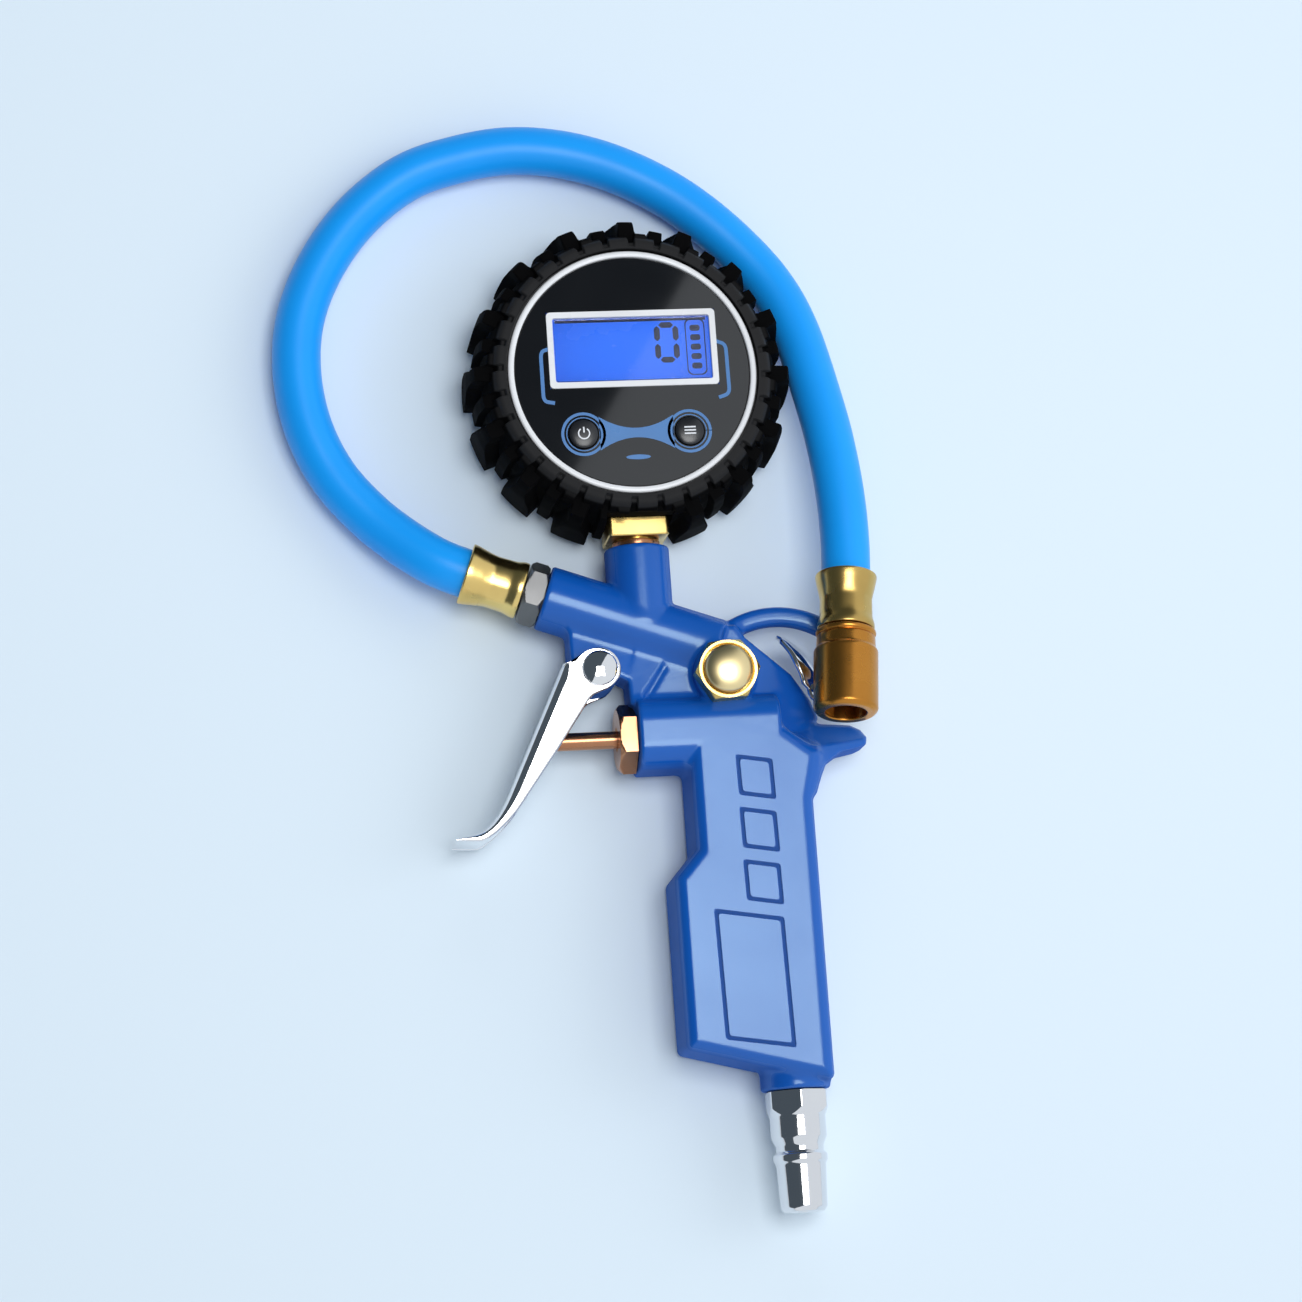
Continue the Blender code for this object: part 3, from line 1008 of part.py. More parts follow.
def make_hose():
    """The rubber hose, a free tube along its route."""
    tail = Vector(CHUCK_TAIL)
    start = HOSE_EXIT + PORT_AXIS * HOSE_ENTRY
    end = tail + CHUCK_AXIS * HOSE_ENTRY
    route = [start, HOSE_EXIT] + [Vector(p) for p in HOSE_ROUTE] + [tail, end]
    hose = tube("hose", smooth_route(route, 1.1 * HOSE_RADIUS), HOSE_RADIUS, 2)
    hose.data.materials.append(finish("hose_blue", (0.030, 0.260, 0.800), 0.30, 0.0))


def clip_frame():
    """Axes of the chuck's clip: along the chuck, out to the lever, and along its pin."""
    side = CHUCK_AXIS.cross(ALONG_Z).normalized()
    over = side.cross(CHUCK_AXIS).normalized()
    out = (side * cos(CLIP_TURN) + over * sin(CLIP_TURN)).normalized()
    return CHUCK_AXIS, out, CHUCK_AXIS.cross(out).normalized()


def clip_point(along, out):
    """A place on the clip's plane of symmetry, from the chuck's tail and axis."""
    forward, outward, _ = clip_frame()
    return Vector(CHUCK_TAIL) + forward * along + outward * out


def make_chuck():
    """The clip-on tyre chuck: ferrule, body, seal, depressor, clip and its pin."""
    tail = Vector(CHUCK_TAIL)
    forward, outward, across = clip_frame()
    brass = finish("brass", (0.80, 0.56, 0.18), 0.18, 1.0)
    bronze = finish("chuck_brass", (0.62, 0.33, 0.08), 0.25, 1.0)
    rubber = finish("black_rubber", (0.012, 0.012, 0.013), 0.70, 0.0)
    ferrule("chuck_ferrule", CHUCK_FERRULE_LENGTH, tail + forward * CHUCK_FERRULE_LENGTH, -forward)

    neck = CHUCK_FERRULE_LENGTH + CLEAR
    collar = neck + CHUCK_COLLAR
    body = turned("chuck_body", [
        (0.0, HOSE_ENTRY + 2.0 * CLEAR), (BARB_RADIUS, HOSE_ENTRY + 2.0 * CLEAR), (BARB_RADIUS, neck),
        (FERRULE_RADIUS, neck), (FERRULE_RADIUS, collar), (FERRULE_RADIUS - 0.0004, collar),
        (FERRULE_RADIUS - 0.0004, collar + 0.0005), (CHUCK_RADIUS - 0.0003, collar + 0.0010),
        (CHUCK_RADIUS - 0.0003, collar + CHUCK_STEP), (CHUCK_RADIUS, collar + CHUCK_STEP + 0.0006),
        (CHUCK_RADIUS, CHUCK_LENGTH - 0.0008), (CHUCK_RADIUS - 0.0008, CHUCK_LENGTH),
        (MOUTH_RADIUS, CHUCK_LENGTH), (MOUTH_RADIUS, CHUCK_LENGTH - MOUTH_DEPTH),
        (0.0, CHUCK_LENGTH - MOUTH_DEPTH)], tail, forward)
    cut(body, rod("bore", 0.0014, 0.0, CHUCK_LENGTH, tail, forward, 12))
    slot_length = 0.0100
    slot = oriented_block("slot", (slot_length, CHUCK_RADIUS - MOUTH_RADIUS + 0.0030, CLIP_SLOT),
                          clip_point(CLIP_PIVOT_ALONG + 0.0010, (CHUCK_RADIUS + MOUTH_RADIUS) / 2.0 + 0.0006),
                          (forward, outward, across))
    cut(body, slot)
    pin_place = clip_point(CLIP_PIVOT_ALONG, CLIP_PIVOT_OUT)
    pin_half = sqrt(CHUCK_RADIUS ** 2 - CLIP_PIVOT_OUT ** 2) + 0.0004
    cut(body, rod("pin_hole", CLIP_PIN_RADIUS + 0.5 * CLEAR, -0.0090, 0.0090, pin_place, across, 12))
    body.data.materials.append(bronze)

    seal_top = CHUCK_LENGTH - MOUTH_DEPTH + 0.0032
    seal = sleeve("chuck_seal", MOUTH_RADIUS - CLEAR, 0.0024, CHUCK_LENGTH - MOUTH_DEPTH + CLEAR, seal_top,
                  tail, forward, SMALL_ROUND)
    seal.data.materials.append(rubber)
    needle = turned("chuck_depressor", [
        (0.0, CHUCK_LENGTH - MOUTH_DEPTH - 0.0060), (0.0011, CHUCK_LENGTH - MOUTH_DEPTH - 0.0060),
        (0.0011, CHUCK_LENGTH - MOUTH_DEPTH + 0.0036), (0.0005, CHUCK_LENGTH - MOUTH_DEPTH + 0.0042),
        (0.0, CHUCK_LENGTH - MOUTH_DEPTH + 0.0042)], tail, forward, 12)
    needle.data.materials.append(brass)

    make_clip(pin_place, (forward, outward, across))
    pin = rod("clip_pin", CLIP_PIN_RADIUS, -pin_half, pin_half, pin_place, across, 12)
    pin.data.materials.append(finish("screw_steel", (0.45, 0.45, 0.46), 0.30, 1.0))


def oriented_block(name, size, centre, axes):
    """A box along three given axes."""
    made = block(name, size, centre)
    turn = Matrix((axes[0], axes[1], axes[2])).transposed()
    made.rotation_euler = turn.to_euler()
    return made


def clip_outline(sheet):
    """The clip lever from its side, about its pin: claw, arm and flared thumb pad.

    First number: along the chuck towards its mouth; second: outwards from its axis."""
    reach = CHUCK_RADIUS - CLIP_PIVOT_OUT + 0.0006
    outer = [(0.0030, -0.0016), (0.0030, 0.0012), (0.0010, reach + sheet),
             (-0.0050, reach + sheet + 0.0012), (-0.0095, reach + sheet + 0.0032),
             (-0.0131, reach + sheet + 0.0063), (-0.0144, reach + sheet + 0.0082)]
    inner = [(-0.0153, reach + 0.0088), (-0.0139, reach + 0.0068), (-0.0101, reach + 0.0035),
             (-0.0054, reach + 0.00125), (-0.0014, reach + 0.0004), (-0.0014, -0.0016)]
    return outer + inner


def make_clip(pin_place, axes):
    """The chrome thumb lever with its claw, turning on a cross pin."""
    arm = prism("chuck_clip", clip_outline(CLIP_SHEET), -CLIP_WIDTH / 2.0, CLIP_WIDTH / 2.0)
    beside = (CLIP_WIDTH - CLIP_TAB) / 2.0 + 0.0010
    for side in (-1.0, 1.0):
        cut(arm, block("beside", (0.0100, 0.0200, beside), (0.0034, 0.0, side * (CLIP_TAB + beside) / 2.0)))
    cut(arm, rod("hole", CLIP_PIN_RADIUS + CLEAR, -CLIP_WIDTH, CLIP_WIDTH, sides=12))
    arm.location = pin_place
    turn = Matrix((axes[0], axes[1], axes[2])).transposed()
    arm.rotation_euler = turn.to_euler()
    arm.data.materials.append(finish("chrome", (0.75, 0.75, 0.76), 0.08, 1.0))


def main():
    """Build the whole inflator."""
    clear_scene()
    axis = bpy.data.objects.new("gauge_axis", None)
    bpy.context.scene.collection.objects.link(axis)
    axis.location = (*GAUGE_AXIS, 0.0)
    make_gun_body()
    make_trigger()
    make_inflation_valve()
    make_bleed_valve()
    make_air_plug()
    make_boot()
    make_case()
    make_face()
    make_electronics()
    make_gauge_stem()
    make_inlet()
    make_hose()
    make_chuck()


main()
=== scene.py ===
"""Looks of a hand-held tyre inflator with a digital gauge, a short blue hose and a clip-on chuck.

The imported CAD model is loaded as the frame. Each sub-assembly below is a class that holds its sizes,
works its surfaces out with numpy in the frame's metres, dresses them, and says which CAD nodes it
stands for. Places on the tool are measured from the gauge's own axis, which is read from the frame.
"""

from __future__ import annotations

import logging
from dataclasses import dataclass
from enum import Enum
from functools import lru_cache
from math import cos, pi, radians, sin
from typing import Callable, Sequence

import bmesh
import bpy
import numpy as np
from mathutils import Matrix, Vector

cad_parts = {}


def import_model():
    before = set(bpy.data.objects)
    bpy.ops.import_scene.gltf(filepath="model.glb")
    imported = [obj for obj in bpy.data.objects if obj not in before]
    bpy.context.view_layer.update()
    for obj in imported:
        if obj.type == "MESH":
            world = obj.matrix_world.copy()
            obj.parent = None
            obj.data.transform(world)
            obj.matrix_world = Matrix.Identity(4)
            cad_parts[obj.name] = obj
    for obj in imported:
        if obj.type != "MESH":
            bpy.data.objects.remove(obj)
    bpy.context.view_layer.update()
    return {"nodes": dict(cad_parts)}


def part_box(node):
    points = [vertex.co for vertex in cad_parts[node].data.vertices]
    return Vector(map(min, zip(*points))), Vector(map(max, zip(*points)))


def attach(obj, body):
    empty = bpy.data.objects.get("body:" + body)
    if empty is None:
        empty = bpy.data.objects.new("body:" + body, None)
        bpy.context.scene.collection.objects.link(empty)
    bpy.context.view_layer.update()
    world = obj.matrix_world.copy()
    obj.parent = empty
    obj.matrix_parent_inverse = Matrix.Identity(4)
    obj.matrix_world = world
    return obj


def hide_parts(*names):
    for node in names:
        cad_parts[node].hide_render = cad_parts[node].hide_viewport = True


LOG = logging.getLogger("inflator")
Array = np.ndarray
Tree, Node, Socket = bpy.types.NodeTree, bpy.types.Node, bpy.types.NodeSocket
Mesh, Piece = bpy.types.Mesh, bpy.types.Object
Pair, Triple = tuple[float, float], tuple[float, float, float]
Four = tuple[float, float, float, float]
MM = 0.001
BOX_FACES = np.array([(0, 1, 3, 2), (4, 6, 7, 5), (0, 4, 5, 1), (2, 3, 7, 6), (0, 2, 6, 4), (1, 5, 7, 3)])


class Body(str, Enum):
    """The frame's bodies that pieces ride on."""

    TOOL = "tool"
    TRIGGER = "trigger"
    VALVE = "inflation_valve"
    BLEED = "bleed"
    POWER = "power_key"
    MODE = "mode_key"
    CLIP = "clip"


# ---------------- node tools
def socket(shader: Node, name: str) -> Socket:
    """One input socket of a node, by its name."""
    return shader.inputs[name]


def new_group(name: str, inputs: dict[str, tuple[str, object]], outputs: dict[str, str]) -> Tree:
    """Make an empty shader group with named sockets.

    Args:
        name: the group's name.
        inputs: socket name to (socket type, default value or None).
        outputs: socket name to socket type.

    Returns:
        The node tree, holding its input and output nodes as "in" and "out".
    """
    tree = bpy.data.node_groups.new(name, "ShaderNodeTree")
    for label, (kind, default) in inputs.items():
        made = tree.interface.new_socket(label, in_out="INPUT", socket_type=kind)
        if default is not None:
            made.default_value = default
    for label, kind in outputs.items():
        tree.interface.new_socket(label, in_out="OUTPUT", socket_type=kind)
    tree.nodes.new("NodeGroupInput").name = "in"
    tree.nodes.new("NodeGroupOutput").name = "out"
    return tree


def maths(tree: Tree, operation: str, *values: object, clamp: bool = False) -> Socket:
    """Add a Math node whose inputs are sockets or numbers.

    Args:
        tree: the node tree to add it to.
        operation: the Math node's operation.
        values: sockets to link, or numbers to set, in order.
        clamp: keep the result between 0 and 1.

    Returns:
        The node's output socket.
    """
    node = tree.nodes.new("ShaderNodeMath")
    node.operation = operation
    node.use_clamp = clamp
    for index, value in enumerate(values):
        if isinstance(value, Socket):
            tree.links.new(value, node.inputs[index])
        else:
            node.inputs[index].default_value = value
    return node.outputs[0]


def noise_node(tree: Tree, vector: Socket, scale: object, detail: float) -> Socket:
    """Add a Noise Texture on a vector and return its factor output."""
    node = tree.nodes.new("ShaderNodeTexNoise")
    tree.links.new(vector, node.inputs["Vector"])
    if isinstance(scale, Socket):
        tree.links.new(scale, node.inputs["Scale"])
    else:
        node.inputs["Scale"].default_value = scale
    node.inputs["Detail"].default_value = detail
    return node.outputs["Fac"]


@lru_cache(maxsize=None)
def grain_group() -> Tree:
    """Fine grain and broad patches, from two noises of different size.

    Height is a fine noise; Patch is a noise of about one twelfth of that fineness, pulled towards
    0 and 1, for colour and roughness that change over the surface.
    """
    tree = new_group(
        "fine_grain",
        {"Vector": ("NodeSocketVector", None), "Scale": ("NodeSocketFloat", 800.0)},
        {"Height": "NodeSocketFloat", "Patch": "NodeSocketFloat"},
    )
    source, target = tree.nodes["in"], tree.nodes["out"]
    fine = noise_node(tree, source.outputs["Vector"], source.outputs["Scale"], 3.0)
    broad_scale = maths(tree, "MULTIPLY", source.outputs["Scale"], 0.08)
    broad = noise_node(tree, source.outputs["Vector"], broad_scale, 4.0)
    pulled = maths(tree, "MULTIPLY_ADD", broad, 2.6, -0.8, clamp=True)
    tree.links.new(fine, target.inputs["Height"])
    tree.links.new(pulled, target.inputs["Patch"])
    return tree


@lru_cache(maxsize=None)
def lathe_group() -> Tree:
    """Fine turning marks: noise that is stretched round an axis, read on Object coordinates.

    The vector is flattened across the turning axis, so that the noise changes along it and hardly
    round it.
    """
    tree = new_group(
        "turning_marks",
        {"Vector": ("NodeSocketVector", None), "Scale": ("NodeSocketFloat", 2500.0),
         "Stretch": ("NodeSocketVector", (0.02, 1.0, 0.02))}, {"Height": "NodeSocketFloat"},
    )
    source, target = tree.nodes["in"], tree.nodes["out"]
    squeeze = tree.nodes.new("ShaderNodeVectorMath")
    squeeze.operation = "MULTIPLY"
    tree.links.new(source.outputs["Vector"], squeeze.inputs[0])
    tree.links.new(source.outputs["Stretch"], squeeze.inputs[1])
    marks = noise_node(tree, squeeze.outputs[0], source.outputs["Scale"], 2.0)
    tree.links.new(marks, target.inputs["Height"])
    return tree


@lru_cache(maxsize=None)
def outline_group() -> Tree:
    """An engraved outline of a leaning panel: 1 on its line, 0 elsewhere.

    A place is turned into the panel's own across and up numbers. The distance to the panel's edge
    is the larger of how far across and how far up it lies past the middle, less half the size; the
    line is where that distance is within half a line of zero.
    """
    tree = new_group(
        "engraved_outline",
        {
            "Vector": ("NodeSocketVector", None), "Left": ("NodeSocketFloat", 0.0),
            "Top": ("NodeSocketFloat", 0.0), "Width": ("NodeSocketFloat", 0.01),
            "Height": ("NodeSocketFloat", 0.01), "Slope": ("NodeSocketFloat", -0.17),
            "Lean": ("NodeSocketFloat", -0.02), "Line": ("NodeSocketFloat", 0.0009),
        },
        {"Mask": "NodeSocketFloat"},
    )
    source, target = tree.nodes["in"].outputs, tree.nodes["out"]
    parts = parts_of(tree, source["Vector"])
    from_left = maths(tree, "SUBTRACT", parts["X"], source["Left"])
    from_top = maths(tree, "SUBTRACT", parts["Y"], source["Top"])
    across = maths(tree, "SUBTRACT", from_left, maths(tree, "MULTIPLY", source["Lean"], from_top))
    down = maths(tree, "SUBTRACT", maths(tree, "MULTIPLY", source["Slope"], across), from_top)
    distances = []
    for place, size in ((across, source["Width"]), (down, source["Height"])):
        half = maths(tree, "MULTIPLY", size, 0.5)
        off = maths(tree, "ABSOLUTE", maths(tree, "SUBTRACT", place, half))
        distances.append(maths(tree, "SUBTRACT", off, half))
    edge = maths(tree, "SMOOTH_MAX", distances[0], distances[1], 0.0012)
    half_line = maths(tree, "MULTIPLY", source["Line"], 0.5)
    inward = maths(tree, "ABSOLUTE", maths(tree, "ADD", edge, half_line))
    share = maths(tree, "DIVIDE", inward, half_line)
    mask = maths(tree, "MULTIPLY_ADD", share, -1.6, 1.9, clamp=True)
    tree.links.new(mask, target.inputs["Mask"])
    return tree


def use_group(tree: Tree, group: Tree, vector: Socket, **values: object) -> Node:
    """Place a shared group in a material, on a vector and with its own numbers."""
    node = tree.nodes.new("ShaderNodeGroup")
    node.node_tree = group
    tree.links.new(vector, node.inputs["Vector"])
    for label, value in values.items():
        node.inputs[label].default_value = value
    return node


def mix_colour(tree: Tree, factor: Socket, first: Sequence[float], second: Sequence[float]) -> Socket:
    """Mix two colours by a factor socket and return the colour output."""
    node = tree.nodes.new("ShaderNodeMix")
    node.data_type = "RGBA"
    tree.links.new(factor, node.inputs["Factor"])
    node.inputs[6].default_value = (*first, 1.0)
    node.inputs[7].default_value = (*second, 1.0)
    return node.outputs[2]


def recolour(tree: Tree, factor: Socket, shader: Node, colour: Sequence[float]) -> None:
    """Mix another colour into a shader's linked base colour by a factor socket."""
    mixed = tree.nodes.new("ShaderNodeMix")
    mixed.data_type = "RGBA"
    tree.links.new(factor, mixed.inputs["Factor"])
    tree.links.new(socket(shader, "Base Color").links[0].from_socket, mixed.inputs[6])
    mixed.inputs[7].default_value = (*colour, 1.0)
    tree.links.new(mixed.outputs[2], socket(shader, "Base Color"))


def parts_of(tree: Tree, vector: Socket) -> bpy.types.NodeOutputs:
    """The X, Y and Z outputs of a vector."""
    node = tree.nodes.new("ShaderNodeSeparateXYZ")
    tree.links.new(vector, node.inputs[0])
    return node.outputs


# ---------------- finishes
@dataclass(frozen=True)
class Surface:
    """A finish whose colour, roughness and relief come from the shared grain group.

    Attributes:
        name: the material's name.
        colour: main colour, as linear red, green and blue.
        patch: the colour that broad patches drift towards.
        metallic: 1 for bare metal, 0 otherwise.
        roughness: least and most roughness over the patches.
        grain: fineness of the grain, in features per metre.
        relief: height of the grain, in metres.
        coat: weight of a clear coat.
        turning: stretch of turning marks along each axis, or None for an undirected grain.
        specular: specular level of the bare surface.
        coat_roughness: roughness of the clear coat.
    """

    name: str
    colour: Triple
    patch: Triple
    metallic: float = 0.0
    roughness: Pair = (0.3, 0.4)
    grain: float = 800.0
    relief: float = 0.00001
    coat: float = 0.0
    turning: Triple | None = None
    specular: float = 0.5
    coat_roughness: float = 0.08

    def material(self) -> bpy.types.Material:
        """Return this finish's material, made once."""
        found = bpy.data.materials.get(self.name)
        if found is not None:
            return found
        made = bpy.data.materials.new(self.name)
        made.use_nodes = True
        self.dress(made.node_tree)
        return made

    def dress(self, tree: Tree) -> tuple[Node, Node]:
        """Wire colour, roughness and relief.

        Args:
            tree: the material's node tree.

        Returns:
            The Principled BSDF and the Bump node.
        """
        shader = tree.nodes["Principled BSDF"]
        place = tree.nodes.new("ShaderNodeTexCoord").outputs["Object"]
        grain = use_group(tree, grain_group(), place, Scale=self.grain)
        colour = mix_colour(tree, grain.outputs["Patch"], self.colour, self.patch)
        tree.links.new(colour, socket(shader, "Base Color"))
        low, high = self.roughness
        rough = maths(tree, "MULTIPLY_ADD", grain.outputs["Patch"], high - low, low)
        tree.links.new(rough, socket(shader, "Roughness"))
        socket(shader, "Metallic").default_value = self.metallic
        socket(shader, "Coat Weight").default_value = self.coat
        socket(shader, "Coat Roughness").default_value = self.coat_roughness
        socket(shader, "Specular IOR Level").default_value = self.specular
        bump = tree.nodes.new("ShaderNodeBump")
        bump.inputs["Strength"].default_value = 1.0
        bump.inputs["Distance"].default_value = self.relief
        height = grain.outputs["Height"]
        if self.turning is not None:
            marks = use_group(tree, lathe_group(), place, Scale=self.grain * 3.0, Stretch=self.turning)
            height = maths(tree, "ADD", maths(tree, "MULTIPLY", height, 0.4), marks.outputs["Height"])
        tree.links.new(height, bump.inputs["Height"])
        tree.links.new(bump.outputs["Normal"], socket(shader, "Normal"))
        return shader, bump


ROUND_Y = (0.02, 1.0, 0.02)

CHROME = Surface("mirror_chrome", (0.86, 0.86, 0.87), (0.78, 0.78, 0.80), 1.0, (0.04, 0.10), 300.0, 0.000002)
BRASS = Surface("polished_brass", (0.88, 0.66, 0.25), (0.76, 0.51, 0.16), 1.0, (0.20, 0.32), 700.0, 0.000003,
                turning=ROUND_Y)
PALE_BRASS = Surface("button_brass", (0.92, 0.76, 0.42), (0.86, 0.66, 0.32), 1.0, (0.30, 0.38), 700.0,
                     0.000002)
CHUCK_BRASS = Surface("orange_brass", (0.62, 0.27, 0.050), (0.48, 0.19, 0.030), 1.0, (0.24, 0.36), 700.0,
                      0.000006, turning=ROUND_Y)
COPPER = Surface("copper_plate", (0.52, 0.26, 0.14), (0.40, 0.16, 0.08), 1.0, (0.20, 0.30), 700.0, 0.000003)
NICKEL = Surface("nickel_plate", (0.20, 0.20, 0.20), (0.16, 0.16, 0.16), 1.0, (0.36, 0.46), 700.0, 0.000004,
                 turning=ROUND_Y)
STEEL = Surface("zinc_steel", (0.52, 0.52, 0.53), (0.42, 0.42, 0.44), 1.0, (0.22, 0.36), 900.0, 0.000005)
DARK_BRASS = Surface("dull_brass", (0.72, 0.50, 0.17), (0.48, 0.30, 0.08), 1.0, (0.22, 0.36), 500.0, 0.000004,
                     turning=ROUND_Y)
SEAL_RUBBER = Surface("seal_rubber", (0.012, 0.012, 0.012), (0.020, 0.020, 0.020), 0.0, (0.55, 0.70), 1500.0,
                      0.00002)
CASE_PLASTIC = Surface("case_moulding", (0.014, 0.014, 0.015), (0.022, 0.022, 0.024), 0.0, (0.40, 0.52),
                       2600.0, 0.00003)
KEY_PLASTIC = Surface("key_plastic", (0.010, 0.011, 0.014), (0.015, 0.016, 0.020), 0.0, (0.26, 0.34), 1800.0,
                      0.000004)
FACE_GLOSS = Surface("face_gloss", (0.003, 0.003, 0.004), (0.005, 0.005, 0.006), 0.0, (0.03, 0.05), 500.0,
                     0.0000003, coat=1.0, specular=0.45, coat_roughness=0.02)
WHITE_RING = Surface("white_enamel", (0.80, 0.81, 0.83), (0.72, 0.73, 0.75), 0.0, (0.24, 0.34), 900.0,
                     0.000004)
PRINT_WHITE = Surface("white_print", (0.78, 0.80, 0.84), (0.72, 0.74, 0.78), 0.0, (0.30, 0.36), 1200.0,
                      0.000001)
PRINT_BLUE = Surface("blue_print", (0.060, 0.200, 0.480), (0.050, 0.175, 0.430), 0.0, (0.26, 0.32), 1200.0,
                     0.000001)
# dark ink of the display's segments, also used for a painted shade strip at the panel's top
LCD_INK_AND_SHADE = Surface("display_ink_and_shade", (0.004, 0.008, 0.050), (0.005, 0.010, 0.060), 0.0, (0.40, 0.45), 1200.0,
                  0.000001)
BOARD = Surface("circuit_board", (0.015, 0.130, 0.050), (0.020, 0.170, 0.070), 0.0, (0.40, 0.50), 1200.0,
                0.00001)
CELL_WRAP = Surface("cell_sleeve", (0.050, 0.050, 0.055), (0.080, 0.080, 0.085), 0.0, (0.30, 0.40), 900.0,
                    0.000004)


@dataclass(frozen=True)
class CastingPaint(Surface):
    """Blue paint on the casting, with orange peel, dull steep walls and the grip's engraved outlines, whose
    lines are darkened with painted shade.

    Attributes:
        panels: left, top, width and height of each engraved outline.
        panels_above: height from which the outlines show.
        line_depth: depth of the lines, in heights of the grain.
        duller: roughness added in the lines and on steep walls.
    """

    panels: tuple[Four, ...] = ()
    line: float = 0.0009
    panels_above: float = 0.015
    line_shade_colour: Triple = (0.008, 0.055, 0.270)
    line_depth: float = 12.0
    duller: float = 0.55
    tint: Four = (0.74, 1.0, 1.0, 1.0)

    def dress(self, tree: Tree) -> tuple[Node, Node]:
        """Add the engraved outlines' sunken lines, darkened with painted shade, and a duller cast skin on the
        steep walls.
        """
        shader, bump = super().dress(tree)
        coordinates = tree.nodes.new("ShaderNodeTexCoord").outputs
        place = coordinates["Object"]
        mask = None
        for left, top, width, height in self.panels:
            panel = use_group(tree, outline_group(), place, Left=left, Top=top, Width=width, Height=height,
                              Line=self.line)
            mask = panel.outputs["Mask"] if mask is None else maths(
                tree, "MAXIMUM", mask, panel.outputs["Mask"]
            )
        above = maths(tree, "GREATER_THAN", parts_of(tree, place)["Z"], self.panels_above)
        mask = maths(tree, "MULTIPLY", mask, above)
        # painted shade: the engraved lines are coloured darker, as a groove looks in shade
        recolour(tree, mask, shader, self.line_shade_colour)
        upright = maths(tree, "ABSOLUTE", parts_of(tree, coordinates["Normal"])["Z"])
        steep = maths(tree, "MULTIPLY_ADD", upright, -2.5, 1.6, clamp=True)
        gloss = socket(shader, "Roughness").links[0].from_socket
        dull = maths(tree, "MAXIMUM", steep, mask)
        tree.links.new(maths(tree, "MULTIPLY_ADD", dull, self.duller, gloss), socket(shader, "Roughness"))
        socket(shader, "Specular Tint").default_value = self.tint
        weight = maths(tree, "MULTIPLY_ADD", dull, -self.coat, self.coat)
        tree.links.new(weight, socket(shader, "Coat Weight"))
        peel = bump.inputs["Height"].links[0].from_socket
        sunk = maths(tree, "MULTIPLY_ADD", mask, -self.line_depth, peel)
        tree.links.new(sunk, bump.inputs["Height"])
        return shader, bump


@dataclass(frozen=True)
class BootRubber(Surface):
    """Black tyre rubber with a painted highlight: paler and smoother on the blocks of the front shoulder.

    Attributes:
        front: height from which the painted highlight shows.
        ramp: height over which it changes.
        matt: roughness added below the painted highlight.
    """

    painted_highlight: Triple = (0.021, 0.021, 0.022)
    front: float = 0.0246
    ramp: float = 0.000625
    matt: float = 0.30

    def dress(self, tree: Tree) -> tuple[Node, Node]:
        """Mix the painted highlight colour in where the surface is at the front's height."""
        shader, bump = super().dress(tree)
        height = parts_of(tree, tree.nodes.new("ShaderNodeTexCoord").outputs["Object"])["Z"]
        above = maths(tree, "SUBTRACT", height, self.front)
        share = maths(tree, "MULTIPLY", above, 1.0 / self.ramp, clamp=True)
        # painted highlight: the front faces of the shoulder blocks are made paler, as if lit
        recolour(tree, share, shader, self.painted_highlight)
        dull = maths(tree, "MULTIPLY_ADD", share, -self.matt, self.matt)
        gloss = socket(shader, "Roughness").links[0].from_socket
        tree.links.new(maths(tree, "ADD", gloss, dull), socket(shader, "Roughness"))
        return shader, bump


@dataclass(frozen=True)
class HoseRubber(Surface):
    """Smooth blue hose with a faint sheen."""

    sheen: float = 0.05

    def dress(self, tree: Tree) -> tuple[Node, Node]:
        """Give the hose its sheen over the grain."""
        shader, bump = super().dress(tree)
        socket(shader, "Sheen Weight").default_value = self.sheen
        return shader, bump


@dataclass(frozen=True)
class Backlight(Surface):
    """The display's lit blue panel: bright in the middle and deeper towards its rim."""

    centre: Triple = (0.0, 0.0, 0.0)
    half: Pair = (0.02, 0.009)
    glow: Triple = (0.020, 0.190, 1.000)
    rim: Triple = (0.010, 0.100, 0.620)
    strength: float = 0.72

    def dress(self, tree: Tree) -> tuple[Node, Node]:
        """Feed Emission Color with a glow that falls off from the middle."""
        shader, bump = super().dress(tree)
        place = tree.nodes.new("ShaderNodeTexCoord").outputs["Object"]
        shift = tree.nodes.new("ShaderNodeMapping")
        shift.vector_type = "TEXTURE"
        shift.inputs["Location"].default_value = self.centre
        shift.inputs["Scale"].default_value = (self.half[0], self.half[1], 1.0)
        tree.links.new(place, shift.inputs["Vector"])
        parts = parts_of(tree, shift.outputs[0])
        across = maths(tree, "POWER", maths(tree, "ABSOLUTE", parts["X"]), 3.0)
        up = maths(tree, "POWER", maths(tree, "ABSOLUTE", parts["Y"]), 3.0)
        share = maths(tree, "MULTIPLY", maths(tree, "ADD", across, up), 0.75, clamp=True)
        tree.links.new(mix_colour(tree, share, self.glow, self.rim), socket(shader, "Emission Color"))
        socket(shader, "Emission Strength").default_value = self.strength
        return shader, bump


